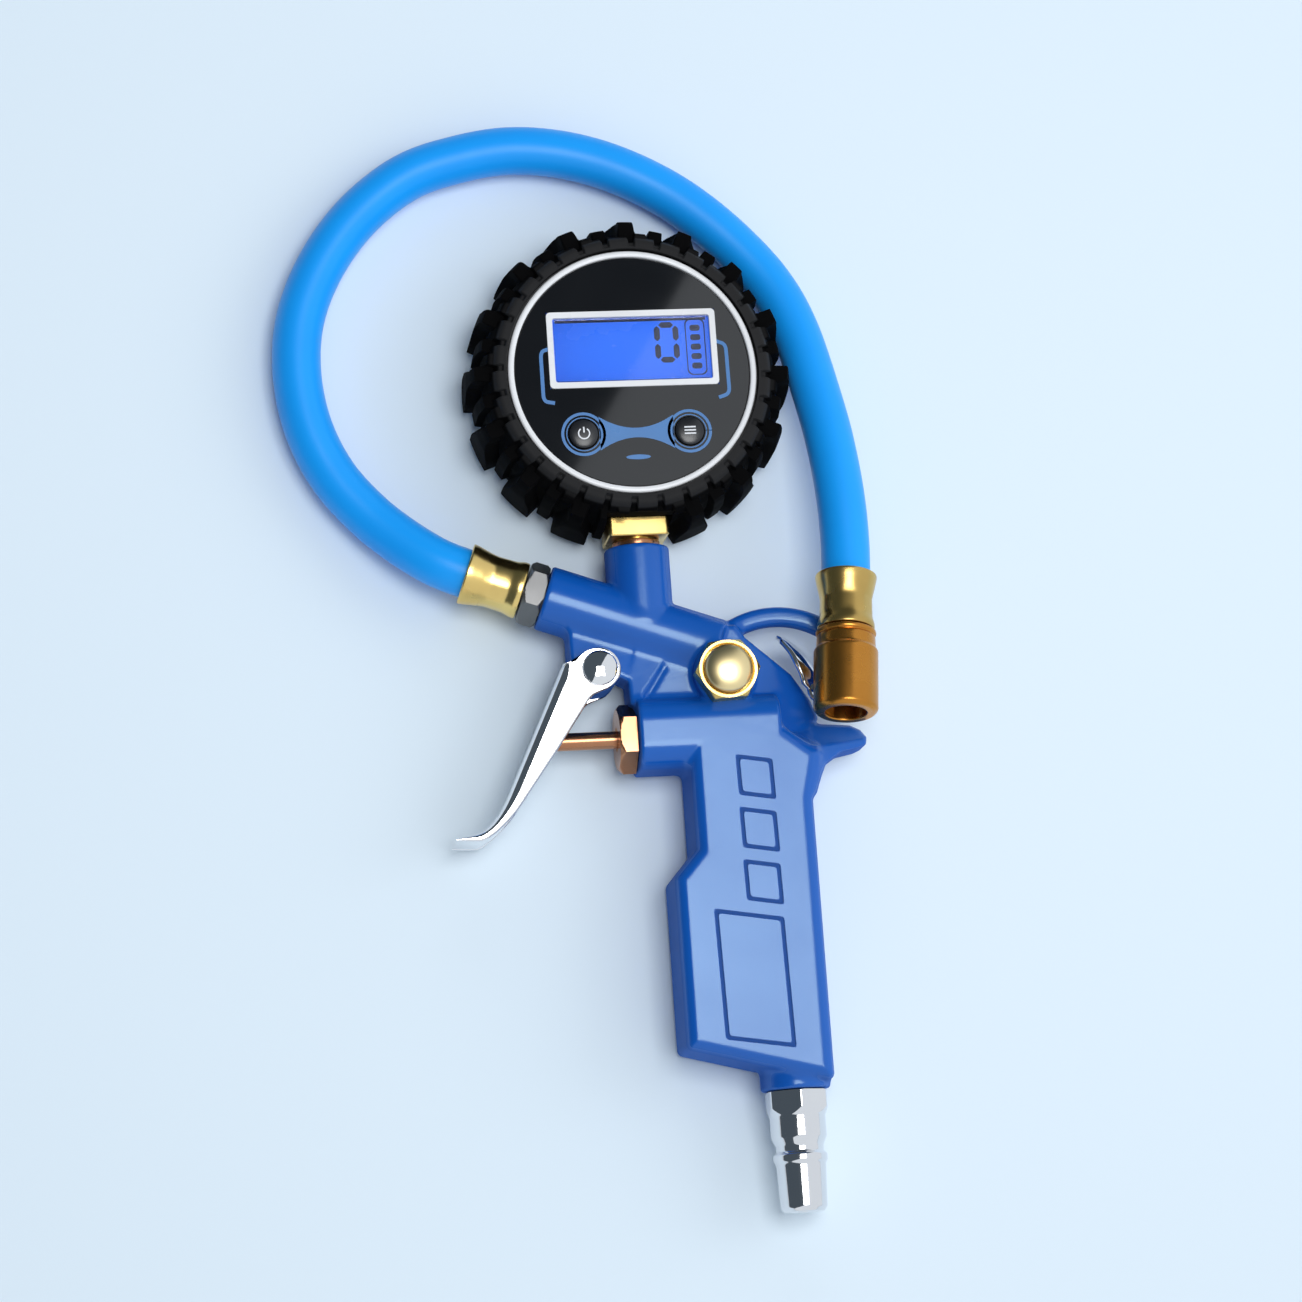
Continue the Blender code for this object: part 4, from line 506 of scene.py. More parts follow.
def clear_lens() -> bpy.types.Material:
    """Clear plastic over the display, with faint scratches in its gloss."""
    made = bpy.data.materials.new("clear_lens")
    made.use_nodes = True
    tree = made.node_tree
    shader = tree.nodes["Principled BSDF"]
    socket(shader, "Base Color").default_value = (0.95, 0.97, 1.0, 1.0)
    socket(shader, "Transmission Weight").default_value = 1.0
    socket(shader, "IOR").default_value = 1.40
    place = tree.nodes.new("ShaderNodeTexCoord").outputs["Object"]
    grain = use_group(tree, grain_group(), place, Scale=900.0)
    rough = maths(tree, "MULTIPLY", grain.outputs["Patch"], 0.05)
    tree.links.new(rough, socket(shader, "Roughness"))
    return made


# ---------------- surface tools
def unit(vector: Sequence[float]) -> Array:
    """A vector of length one."""
    made = np.asarray(vector, float)
    return made / np.linalg.norm(made)


def across_frame(axis: Sequence[float]) -> tuple[Array, Array, Array]:
    """Three axes at right angles: two across, and the given one last."""
    along = unit(axis)
    helper = np.array([0.0, 0.0, 1.0]) if abs(along[2]) < 0.9 else np.array([1.0, 0.0, 0.0])
    side = unit(np.cross(helper, along))
    return side, np.cross(along, side), along


def grid_faces(rows: int, columns: int, close_rows: bool = False, close_columns: bool = False) -> Array:
    """Corner numbers of the quads of a grid of points, rows by columns."""
    row_count = rows if close_rows else rows - 1
    column_count = columns if close_columns else columns - 1
    row, column = np.meshgrid(np.arange(row_count), np.arange(column_count), indexing="ij")
    next_row, next_column = (row + 1) % rows, (column + 1) % columns
    quads = np.stack([row * columns + column, next_row * columns + column,
                      next_row * columns + next_column, row * columns + next_column], axis=-1)
    return quads.reshape(-1, 4)


def mesh_of(name: str, points: Array, quads: Array, sharp: float | None = 35.0, close: bool = False) -> Mesh:
    """Write points and quads to a mesh, weld its doubles and turn its faces outwards.

    Args:
        name: the mesh's name.
        points: (n, 3) places in metres.
        quads: (m, 4) corner numbers.
        sharp: angle in degrees from which an edge is shaded sharp, or None for smooth all over.
        close: fill the open ends with flat faces.

    Returns:
        The mesh.
    """
    mesh = bpy.data.meshes.new(name)
    mesh.vertices.add(len(points))
    mesh.vertices.foreach_set("co", np.ascontiguousarray(points, np.float32).ravel())
    mesh.loops.add(quads.size)
    mesh.loops.foreach_set("vertex_index", np.ascontiguousarray(quads, np.int32).ravel())
    mesh.polygons.add(len(quads))
    mesh.polygons.foreach_set("loop_start", np.arange(0, quads.size, 4, dtype=np.int32))
    mesh.update(calc_edges=True)
    mesh.validate()
    welded = bmesh.new()
    welded.from_mesh(mesh)
    bmesh.ops.remove_doubles(welded, verts=welded.verts, dist=2e-6)
    bmesh.ops.dissolve_degenerate(welded, edges=welded.edges, dist=1e-6)
    if close:
        bmesh.ops.holes_fill(welded, edges=[edge for edge in welded.edges if edge.is_boundary], sides=0)
    bmesh.ops.recalc_face_normals(welded, faces=welded.faces)
    welded.to_mesh(mesh)
    welded.free()
    mesh.shade_smooth()
    if sharp is not None:
        mesh.set_sharp_from_angle(angle=radians(sharp))
    return mesh


def place_piece(name: str, mesh: Mesh, finish: Surface | bpy.types.Material, body: Body, *nodes: str) -> Piece:
    """Put a mesh in the scene, dress it, let it ride on a body and stand for CAD nodes."""
    made = bpy.data.objects.new(name, mesh)
    bpy.context.scene.collection.objects.link(made)
    mesh.materials.clear()
    mesh.materials.append(finish.material() if isinstance(finish, Surface) else finish)
    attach(made, body.value)
    if nodes:
        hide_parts(*nodes)
    LOG.info("piece %s: %d faces", name, len(mesh.polygons))
    return made


def dress_node(node: Piece, finish: Surface) -> Piece:
    """Give a carried-over CAD node its finish."""
    node.data.materials.clear()
    node.data.materials.append(finish.material())
    return node


def soften(profile: Sequence[Pair], radius: float, steps: int = 4) -> Array:
    """Round the corners of a profile.

    Each corner becomes a quadratic curve between two points that lie the radius, or two fifths of
    the side, away from it: p(t) = (1-t)^2 a + 2t(1-t) corner + t^2 b.

    Args:
        profile: corner points.
        radius: how far from a corner its curve starts.
        steps: points on each curve, less one.

    Returns:
        The softened points.
    """
    corners = np.asarray(profile, float)
    count = len(corners)
    share = np.linspace(0.0, 1.0, steps + 1)[:, None]
    made = []
    for index in range(count):
        if index in (0, count - 1):
            made.append(corners[index:index + 1])
            continue
        here, before, after = corners[index], corners[index - 1], corners[index + 1]
        reach = [min(radius, 0.4 * np.linalg.norm(other - here)) for other in (before, after)]
        first = here + unit(before - here) * reach[0]
        last = here + unit(after - here) * reach[1]
        made.append((1 - share) ** 2 * first + 2 * share * (1 - share) * here + share ** 2 * last)
    return np.concatenate(made)


def densify(profile: Array, step: float) -> Array:
    """Add points to a profile so that none of its sides is longer than a step."""
    pieces = []
    for first, last in zip(profile, profile[1:]):
        count = max(1, int(np.ceil(np.linalg.norm(last - first) / step)))
        pieces.append(first + (last - first) * (np.arange(count) / count)[:, None])
    return np.concatenate(pieces + [profile[-1:]])


@dataclass(frozen=True)
class Hexagon:
    """Flats cut on a turned piece between two heights; half is the distance to a flat."""

    half: float
    low: float
    high: float
    phase: float = 0.0

    def limit(self, angle: Array, height: Array) -> Array:
        """Largest radius at an angle and height: half / cos(angle from the flat's middle)."""
        off = (angle - self.phase + pi / 6.0) % (pi / 3.0) - pi / 6.0
        held = (height >= self.low) & (height <= self.high)
        return np.where(held, self.half / np.cos(off), 1.0)


def turned_mesh(name: str, profile: Array, place: Sequence[float], axis: Sequence[float], sides: int = 64,
                hexagon: Hexagon | None = None, relief: Callable[[Array, Array], Array] | None = None,
                sharp: float | None = 35.0) -> Mesh:
    """Turn a profile of (radius, height) about an axis through a place.

    A point is place + r cos(a) side + r sin(a) up + h axis, where r is the profile's radius, held
    to the hexagon's limit. The relief moves it along the profile's normal (dh, -dr), which points
    out of the solid where the profile climbs the outside.

    Args:
        name: the mesh's name.
        profile: (n, 2) radii and heights; radius 0 at an end closes it, and a profile whose last
            point is its first makes a ring.
        place: a point on the axis, where height is 0.
        axis: the axis's direction.
        sides: points round.
        hexagon: flats to cut.
        relief: function of angle and height that gives how far a point moves along the normal.
        sharp: angle from which an edge is shaded sharp.

    Returns:
        The mesh.
    """
    side, up, along = across_frame(axis)
    angle = np.arange(sides) * (2.0 * pi / sides)
    radius, height = (np.repeat(profile[:, i:i + 1], sides, axis=1) for i in range(2))
    around = np.repeat(angle[None, :], len(profile), axis=0)
    if hexagon is not None:
        radius = np.minimum(radius, hexagon.limit(around, height))
    if relief is not None:
        slope = np.gradient(profile, axis=0)
        slope /= np.maximum(np.linalg.norm(slope, axis=1), 1e-9)[:, None]
        raised = relief(around, height)
        radius, height = radius + raised * slope[:, 1:], height - raised * slope[:, :1]
    turn = np.cos(around)[..., None] * side + np.sin(around)[..., None] * up
    points = (np.asarray(place, float) + radius[..., None] * turn
              + height[..., None] * along)
    quads = grid_faces(len(profile), sides, close_columns=True)
    return mesh_of(name, points.reshape(-1, 3), quads, sharp)


# ---------------- distance fields
def polygon_distance(x: Array, y: Array, outline: Array) -> Array:
    """Signed distance to a polygon: the least distance to a side, negative inside.

    A place is inside when a line from it crosses an odd number of sides.
    """
    nearest = np.full(np.broadcast(x, y).shape, np.inf)
    inside = np.zeros(nearest.shape, bool)
    for (ax, ay), (bx, by) in zip(outline, np.roll(outline, -1, axis=0)):
        dx, dy = bx - ax, by - ay
        share = np.clip(((x - ax) * dx + (y - ay) * dy) / (dx * dx + dy * dy), 0.0, 1.0)
        nearest = np.minimum(nearest, (x - ax - share * dx) ** 2 + (y - ay - share * dy) ** 2)
        between = (ay > y) != (by > y)
        if abs(dy) > 1e-12:
            inside ^= between & (x < ax + (y - ay) * dx / dy)
    return np.where(inside, -1.0, 1.0) * np.sqrt(nearest)


def inset(outline: Array, distance: float) -> Array:
    """Draw an anticlockwise outline in by a distance, with mitred corners."""
    before = outline - np.roll(outline, 1, axis=0)
    after = np.roll(outline, -1, axis=0) - outline
    before /= np.linalg.norm(before, axis=1)[:, None]
    after /= np.linalg.norm(after, axis=1)[:, None]
    total = before + after
    inward = np.stack([-total[:, 1], total[:, 0]], axis=1) / (1.0 + np.sum(before * after, axis=1))[:, None]
    return outline + inward * distance


def rounded_polygon(x: Array, y: Array, outline: Sequence[Pair], corner: float) -> Array:
    """Signed distance to a polygon whose outer corners are round."""
    points = np.asarray(outline, float)
    area = np.sum(points[:, 0] * np.roll(points[:, 1], -1) - points[:, 1] * np.roll(points[:, 0], -1))
    points = points if area > 0.0 else points[::-1]
    return polygon_distance(x, y, inset(points, corner)) - corner


def rounded_meet(first: Array, second: Array, edge: float) -> Array:
    """Distance to where two solids meet, with their common edge rounded: |max(w, 0)| - edge."""
    outer = np.sqrt(np.maximum(first + edge, 0.0) ** 2 + np.maximum(second + edge, 0.0) ** 2)
    return outer + np.minimum(np.maximum(first, second) + edge, 0.0) - edge


def slab(flat: Array, z: Array, middle: float, half: float, edge: float) -> Array:
    """Raise a flat distance to a plate about a middle height, with rounded rims."""
    return rounded_meet(flat, np.abs(z - middle) - half, edge)


def rod(x: Array, y: Array, z: Array, start: Sequence[float], end: Sequence[float], radius: float,
        edge: float = 0.0) -> Array:
    """Signed distance to a cylinder from one point to another, with rounded rims."""
    first, last = np.asarray(start, float), np.asarray(end, float)
    length = np.linalg.norm(last - first)
    axis = (last - first) / length
    dx, dy, dz = x - first[0], y - first[1], z - first[2]
    along = dx * axis[0] + dy * axis[1] + dz * axis[2]
    radial = np.sqrt(np.maximum(dx * dx + dy * dy + dz * dz - along * along, 0.0))
    return rounded_meet(radial - radius, np.abs(along - length / 2.0) - length / 2.0, edge)


def flow(first: Array, second: Array, fillet: float) -> Array:
    """Join two distances with a soft fillet: the lesser, less a bump where they are alike."""
    share = np.clip(0.5 + 0.5 * (second - first) / fillet, 0.0, 1.0)
    return second + (first - second) * share - fillet * share * (1.0 - share)


Field = Callable[[Array, Array, Array], Array]


def net_surface(field: Field, low: Array, high: Array, step: float, passes: int = 3) -> tuple[Array, Array]:
    """Surface nets of a field's zero, drawn onto it.

    Each cell that the surface crosses has one point, the mean of the crossings on its edges; each
    crossed grid edge gives one quad of the four cells round it. The points then move along the
    field's gradient g by -f g / |g|^2, a few times.

    Args:
        field: signed distance of x, y and z.
        low: lowest corner of the box.
        high: highest corner of the box.
        step: cell size.
        passes: how many times the points are drawn onto the surface.

    Returns:
        Points and quads.
    """
    counts = np.ceil((high - low) / step).astype(int) + 1
    axes = [low[i] + step * np.arange(counts[i]) for i in range(3)]
    x, y, z = axes[0][:, None, None], axes[1][None, :, None], axes[2][None, None, :]
    values = np.broadcast_to(field(x, y, z), tuple(counts))
    inside = values < 0.0
    cells = tuple(counts - 1)
    total, count = np.zeros((3, int(np.prod(cells)))), np.zeros(int(np.prod(cells)))
    crossed = []
    for axis in range(3):
        first = tuple(slice(0, -1) if i == axis else slice(None) for i in range(3))
        second = tuple(slice(1, None) if i == axis else slice(None) for i in range(3))
        index = np.argwhere(inside[first] != inside[second])
        start, stop = values[first][tuple(index.T)], values[second][tuple(index.T)]
        place = index.astype(float)
        place[:, axis] += start / (start - stop)
        others = [i for i in range(3) if i != axis]
        corners = []
        for step_u, step_v in ((-1, -1), (0, -1), (0, 0), (-1, 0)):
            cell = index.copy()
            cell[:, others[0]] += step_u
            cell[:, others[1]] += step_v
            flat = np.ravel_multi_index(tuple(np.clip(cell, 0, np.array(cells) - 1).T), cells)
            corners.append(flat)
            count += np.bincount(flat, minlength=count.size)
            for i in range(3):
                total[i] += np.bincount(flat, weights=place[:, i], minlength=count.size)
        quads = np.stack(corners, axis=1)
        outward = (start < 0.0) ^ (axis == 1)
        quads[~outward] = quads[~outward][:, ::-1]
        crossed.append(quads)
    used = np.flatnonzero(count)
    number = np.full(count.size, -1)
    number[used] = np.arange(used.size)
    points = low + step * (total[:, used] / count[used]).T
    quads = number[np.concatenate(crossed)]
    for _ in range(passes):
        points = drawn(field, points, step)
    return points, quads


def drawn(field: Field, points: Array, step: float) -> Array:
    """Move points onto a field's zero along its gradient, by at most half a cell."""
    reach = 0.1 * step
    value = field(*points.T)
    slopes = []
    for axis in range(3):
        shift = np.zeros(3)
        shift[axis] = reach
        slopes.append((field(*(points + shift).T) - field(*(points - shift).T)) / (2.0 * reach))
    slope = np.stack(slopes, axis=1)
    size = np.maximum(np.sum(slope * slope, axis=1), 0.05)
    return points - slope * np.clip(value / size, -0.5 * step, 0.5 * step)[:, None]


def relaxed(points: Array, quads: Array, share: float) -> Array:
    """Move each point a share of the way to the mean of its neighbours."""
    pairs = np.concatenate([quads[:, [0, 1]], quads[:, [1, 2]], quads[:, [2, 3]], quads[:, [3, 0]]])
    total, count = np.zeros_like(points), np.zeros(len(points))
    for near, far in ((0, 1), (1, 0)):
        count += np.bincount(pairs[:, near], minlength=len(points))
        for axis in range(3):
            total[:, axis] += np.bincount(pairs[:, near], weights=points[pairs[:, far], axis],
                                          minlength=len(points))
    return points + share * (total / np.maximum(count, 1)[:, None] - points)


# ---------------- the tool's own datums
@dataclass(frozen=True)
class Datums:
    """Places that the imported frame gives: the gauge's axis and the casting's middle height."""

    gauge: Array
    middle: float

    @classmethod
    def read(cls) -> "Datums":
        """Read the datums from the frame's boxes."""
        low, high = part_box("bezel_ring")
        plug_low, plug_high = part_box("coupler_plug")
        gauge = np.array([(low.x + high.x) / 2.0, (low.y + high.y) / 2.0, 0.0])
        return cls(gauge, (plug_low.z + plug_high.z) / 2.0)

    def at(self, x: float, y: float, z: float | None = None) -> Array:
        """A place from the gauge's axis, at the casting's middle height unless z is given."""
        return self.gauge + np.array([x, y, self.middle if z is None else z])


# ---------------- casting
@dataclass
class Casting:
    """The painted die casting: grip, valve chamber, ports, bleed boss, trigger ear, hook and spur."""

    datums: Datums
    thickness: float = 0.0210
    front: float = 0.0026
    back: float = 0.0376
    relief: float = 0.0058
    chamber_y: float = -0.0882
    chamber_half: float = 0.0086
    chamber_corner: float = 0.0060
    tube_radius: float = 0.0080
    port: Pair = (-0.0236, -0.0523)
    port_slope: float = radians(20.0)
    port_length: float = 0.0440
    pivot: Pair = (-0.0119, -0.0718)
    bleed: Pair = (0.0184, -0.0744)
    bleed_radius: float = 0.0076
    boss_top: float = -0.0412
    ear_step: tuple[Pair, Pair] = ((0.0046, -0.0712), (-0.0020, -0.0812))
    hook: Pair = (0.0330, -0.0818)
    hook_radius: float = 0.0224
    hook_width: float = 0.0047
    plug_x: float = 0.0293
    cell: float = 0.00058

    def grip(self, x: Array, y: Array, z: Array) -> Array:
        """The grip: a thick plate with a finger relief and a slanted end."""
        relief_x = self.front + self.relief
        outline = [
            (relief_x, -0.0830), (relief_x, -0.1170), (self.front, -0.1236), (self.front, -0.1646),
            (self.back, -0.1741), (self.back, -0.1062), (self.back + 0.0022, -0.0968),
            (self.back + 0.0024, -0.0945), (0.0326, -0.0886), (0.0300, -0.0870),
        ]
        flat = rounded_polygon(x, y, outline, 0.0016)
        half = self.thickness / 2.0
        return slab(flat, z, half, half, 0.0030)

    def chamber(self, x: Array, y: Array, z: Array) -> Array:
        """The valve chamber: a rounded box along X."""
        off_y = np.abs(y - self.chamber_y) - self.chamber_half + self.chamber_corner
        off_z = np.abs(z - self.datums.middle) - self.thickness / 2.0 + self.chamber_corner
        round_box = np.sqrt(np.maximum(off_y, 0.0) ** 2 + np.maximum(off_z, 0.0) ** 2)
        round_box = round_box + np.minimum(np.maximum(off_y, off_z), 0.0) - self.chamber_corner
        ends = np.abs(x - 0.01375) - 0.01725
        return rounded_meet(round_box, ends, 0.0007)

    def plates(self, x: Array, y: Array, z: Array) -> Array:
        """The sunken web, falling away past the bleed boss, and the thicker ear for the trigger's pin."""
        bleed_x, bleed_y = self.bleed
        pivot_x, pivot_y = self.pivot
        web = [
            (-0.0030, -0.0836), (0.0376, -0.0882), (0.0420, -0.0852), (0.0400, -0.0804),
            (bleed_x + 0.0173, bleed_y + 0.0002), (bleed_x + 0.0063, bleed_y + 0.0093),
            (bleed_x + 0.0040, bleed_y + 0.0125), (bleed_x - 0.0030, bleed_y + 0.0120), (-0.0010, -0.0609),
            (pivot_x + 0.0070, pivot_y - 0.0010),
        ]
        angles = np.linspace(radians(205.0), radians(340.0), 9)
        ear = [(-0.0186, -0.0545), (-0.0186, pivot_y + 0.0036)]
        ear += [(pivot_x + 0.0052 * cos(a), pivot_y + 0.0052 * sin(a)) for a in angles]
        ear += [(pivot_x + 0.0070, pivot_y - 0.0030), (-0.0047, -0.0806), (-0.0015, -0.0806),
                (pivot_x + 0.0160, pivot_y - 0.0003), (pivot_x + 0.0160, -0.0665)]
        middle = self.datums.middle
        fall = 0.22 * np.maximum(x - bleed_x - 0.0050, 0.0) * (z > middle)
        thin = slab(rounded_polygon(x, y, web, 0.0004), z + fall, middle, 0.0050, 0.0008)
        lean = 0.055 * np.maximum(y - pivot_y + 0.0088, 0.0) * (z > middle)
        thick = slab(rounded_polygon(x, y, ear, 0.0004), z + lean, middle, 0.0057, 0.0008)
        return flow(thin, thick, 0.0006)

    def hanger(self, x: Array, y: Array, z: Array) -> Array:
        """The open hook: a round bar along an arc, |distance to the arc| less half its width."""
        start, stop = radians(22.0), radians(132.0)
        dx, dy = x - self.hook[0], y - self.hook[1]
        middle = (start + stop) / 2.0
        angle = (np.arctan2(dy, dx) - middle + pi) % (2.0 * pi) - pi + middle
        held = np.clip(angle, start, stop)
        off_x = dx - self.hook_radius * np.cos(held)
        off_y = dy - self.hook_radius * np.sin(held)
        reach = np.sqrt(off_x ** 2 + off_y ** 2) - self.hook_width / 2.0
        return slab(reach, z, self.datums.middle, 0.00225, 0.0017)

    def spur(self, x: Array, y: Array, z: Array) -> Array:
        """The spur behind the grip: its top falls away from a ridge that runs out to the tip.

        The ridge's height and place change evenly along it. On its far side the top plane drops by
        nine tenths of the way gone; on the near side it is level as far as the outline.
        """
        outline = [
            (0.0300, -0.1062), (0.0300, -0.0850), (0.0430, -0.0866), (0.0496, -0.0871), (0.0519, -0.0885),
            (0.0530, -0.0907), (0.0526, -0.0927), (0.0505, -0.0936), (0.0459, -0.0945), (0.0419, -0.0972),
            (0.0400, -0.1007), (0.0384, -0.1042),
        ]
        flat = rounded_polygon(x, y, outline, 0.0008)
        gone = np.clip((x - 0.0394) / 0.0127, 0.0, 1.2)
        ridge_y, ridge_z = -0.0933 + 0.0018 * gone, 0.0180 - 0.0030 * gone - 0.2 * np.maximum(0.0394 - x, 0.0)
        top = (z - ridge_z + 0.9 * np.maximum(y - ridge_y, 0.0)) * 0.76
        low = self.datums.middle - 0.0056 - z
        return rounded_meet(rounded_meet(flat, top, 0.0009), low, 0.0018)

    def bores(self, x: Array, y: Array, z: Array) -> Array:
        """What is drilled out: valve chamber, hose port, gauge port, bleed valve, air inlet."""
        middle = self.datums.middle
        port = np.array([*self.port, middle])
        slope = np.array([cos(self.port_slope), -sin(self.port_slope), 0.0])
        drilled = rod(x, y, z, (-0.0060, self.chamber_y, middle), (0.0295, self.chamber_y, middle), 0.0060)
        for start, stop in (
            (port - slope * 0.001, port + slope * 0.011),
            ((0.0, -0.0522, middle), (0.0, -0.0402, middle)),
            ((*self.bleed, middle - 0.0050), (*self.bleed, middle + 0.0110)),
            ((self.plug_x, -0.1760, middle), (self.plug_x, -0.1640, middle)),
        ):
            drilled = np.minimum(drilled, rod(x, y, z, start, stop, 0.0051))
        return drilled

    def field(self, x: Array, y: Array, z: Array) -> Array:
        """Signed distance to the whole casting, as places from the gauge's axis."""
        middle = self.datums.middle
        port = np.array([*self.port, middle])
        slope = np.array([cos(self.port_slope), -sin(self.port_slope), 0.0])
        tube = rod(x, y, z, port, port + slope * self.port_length, self.tube_radius, 0.0006)
        boss = rod(x, y, z, (0.0, -0.0605, middle), (0.0, self.boss_top, middle), self.tube_radius - 0.00005,
                   0.0005)
        pipes = flow(tube, boss, 0.0007)
        below = np.clip((self.thickness / 2.0 - 0.0002 - np.abs(z - middle)) / 0.0020, 0.004, 1.0)
        solid = flow(self.grip(x, y, z), self.chamber(x, y, z), 0.0024 * below)
        solid = flow(solid, self.spur(x, y, z), 0.0030)
        plates = flow(self.plates(x, y, z), self.hanger(x, y, z), 0.0022)
        bleed_low, bleed_high = (*self.bleed, middle - 0.0065), (*self.bleed, middle + 0.0088)
        step_low, step_high = [(*spot, middle + 0.0058) for spot in self.ear_step]
        plates = np.maximum(plates, -rod(x, y, z, step_low, step_high, 0.00110, 0.0004))
        plates = flow(plates, rod(x, y, z, bleed_low, bleed_high, self.bleed_radius, 0.0006), 0.0014)
        plates = flow(plates, pipes, 0.0016)
        solid = flow(solid, plates, 0.0016)
        plug_low, plug_high = (self.plug_x, -0.1750, middle), (self.plug_x, -0.1600, middle)
        solid = flow(solid, rod(x, y, z, plug_low, plug_high, 0.0083, 0.0006), 0.0020)
        return np.maximum(solid, -self.bores(x, y, z))

    def build(self) -> None:
        """Make the casting's surface and dress it in blue paint."""
        low, high = np.array([-0.0300, -0.1766, -0.0012]), np.array([0.0576, -0.0388, 0.0224])
        points, quads = net_surface(self.field, low, high, self.cell)
        for _ in range(2):
            points = drawn(self.field, relaxed(points, quads, 0.35), self.cell)
        mesh = mesh_of("casting", points + self.datums.gauge, quads, sharp=48.0)
        gauge_x, gauge_y = self.datums.gauge[:2]
        squares = [(gauge_x + 0.0191, gauge_y + y, 0.0088, 0.0098) for y in (-0.0948, -0.1076, -0.1203)]
        panels = tuple(squares + [(gauge_x + 0.0112, gauge_y - 0.1318, 0.0166, 0.0311)])
        paint = CastingPaint("blue_casting_paint", (0.004, 0.096, 0.460), (0.004, 0.088, 0.430), 0.0,
                             (0.18, 0.25), 420.0, 0.000022, coat=0.10, specular=0.54, panels=panels)
        place_piece("casting", mesh, paint, Body.TOOL, "gun_body")


# ---------------- trigger
@dataclass
class Trigger:
    """The chromed trigger: a pressed channel with round eyes and a closed, curled foot, and its pin."""

    datums: Datums
    pivot: Pair = (-0.0119, -0.0718)
    half_width: float = 0.0075
    corner: float = 0.0022
    inner_corner: float = 0.0005
    sheet: float = 0.0013
    eye: float = 0.0053
    pin_head: float = 0.0043

    BACK = ((-0.0206, -0.0702), (-0.0366, -0.1035), (-0.0396, -0.1078), (-0.0425, -0.1102), (-0.0489, -0.1114))
    CHEEK_TOP = ((-0.0190, -0.0700), (-0.0172, -0.0700))
    BELOW_EYE = (
        (-0.0071, -0.0742), (-0.0092, -0.0765), (-0.0124, -0.0775), (-0.0143, -0.0784), (-0.02325, -0.0912),
        (-0.0337, -0.10535), (-0.0362, -0.1080), (-0.0392, -0.1106), (-0.0424, -0.1126), (-0.0488, -0.1122),
    )
    MATCHED = ((0.0, 0.0973, 0.705, 1.0), (0.0, 0.382, 0.784, 1.0))

    def free_line(self) -> Array:
        """The cheeks' free edge: over the top, round the eye and down to the foot."""
        angles = np.linspace(radians(150.0), radians(-18.0), 16)
        eye = np.array(
            [(self.pivot[0] + self.eye * cos(a), self.pivot[1] + self.eye * sin(a)) for a in angles]
        )
        return soften(np.concatenate([self.CHEEK_TOP, eye, self.BELOW_EYE]), 0.0012, 3)

    def section(self, depth: Array, fill: Array) -> Array:
        """Half of the channel's section at each share, from its back's middle to its floor's.

        The way goes over the outer quarter circle, up the cheek, round the sheet's rim, down inside
        and along the floor, which rises to the cheek's rim where the fill is 1.

        Args:
            depth: the cheek's depth at each share.
            fill: how far the channel is closed at each share.

        Returns:
            (rows, shares, 2) distances from the back and heights.
        """
        sheet, wall = self.sheet, self.half_width
        reach = np.minimum(self.corner, depth * 0.5)
        rim = np.minimum(sheet / 2.0, depth * 0.4)
        floor = np.minimum(sheet + (depth - sheet) * fill, depth - 0.0002)
        inner = np.minimum(self.inner_corner, (depth - floor) * 0.5)
        rows = [(0.0 * depth, -(wall - self.corner) * share) for share in (0.0, 0.5, 0.98, 1.0)]
        rows += [
            (reach * (1.0 - cos(turn)),
             -wall + self.corner * (1.0 - sin(turn))) for turn in np.linspace(0.0, pi / 2.0, 7)[1:]
        ]
        rows += [
            (reach + (depth - rim - reach) * share, -wall) for share in (0.02, 0.2, 0.4, 0.6, 0.8, 0.98, 1.0)
        ]
        rows += [
            (depth - rim + rim * sin(turn),
             -wall + sheet * (1.0 - cos(turn)) / 2.0) for turn in np.linspace(0.0, pi, 8)[1:]
        ]
        start = np.maximum(depth - rim, floor + inner)
        rows += [(start + (floor + inner - start) * share, -wall + sheet) for share in (0.3, 0.6, 1.0)]
        rows += [
            (floor + inner * (1.0 - sin(turn)),
             -wall + sheet + inner * (1.0 - cos(turn))) for turn in (pi / 4.0, pi / 2.0)
        ]
        rows += [(floor, (-wall + sheet + self.inner_corner) * share) for share in (0.9, 0.5, 0.0)]
        return np.stack(
            [np.stack(np.broadcast_arrays(away, height + 0.0 * depth), axis=-1) for away, height in rows]
        )

    def build(self) -> None:
        """Sweep the channel's section between its back and its cheeks' free edges.

        The two side-view lines are read at shares of their length that match each other, and the
        section's distances are laid off from the back towards the free edge.
        """
        shares = np.concatenate([np.linspace(0.0, 0.0973, 30, endpoint=False), np.linspace(0.0973, 1.0, 80)])
        back = read_line(densify(soften(self.BACK, 0.0040, 6), 0.0003), shares)
        free = read_line(densify(self.free_line(), 0.0003), np.interp(shares, *self.MATCHED))
        inward = free - back
        depth = np.linalg.norm(inward, axis=1)
        inward = inward / depth[:, None]
        half = self.section(depth, soft_step((shares - 0.70) / 0.07))
        loop = np.concatenate([half, half[1:-1][::-1] * np.array([1.0, -1.0])])
        flat = back + inward * loop[..., :1]
        points = np.concatenate([flat, loop[..., 1:]], axis=-1).reshape(-1, 3) + self.datums.at(0.0, 0.0)
        mesh = mesh_of("trigger_channel", points, grid_faces(*loop.shape[:2], close_rows=True), sharp=32.0,
                       close=True)
        place_piece("trigger_channel", mesh, CHROME, Body.TRIGGER, "trigger_lever")
        self.build_pin()

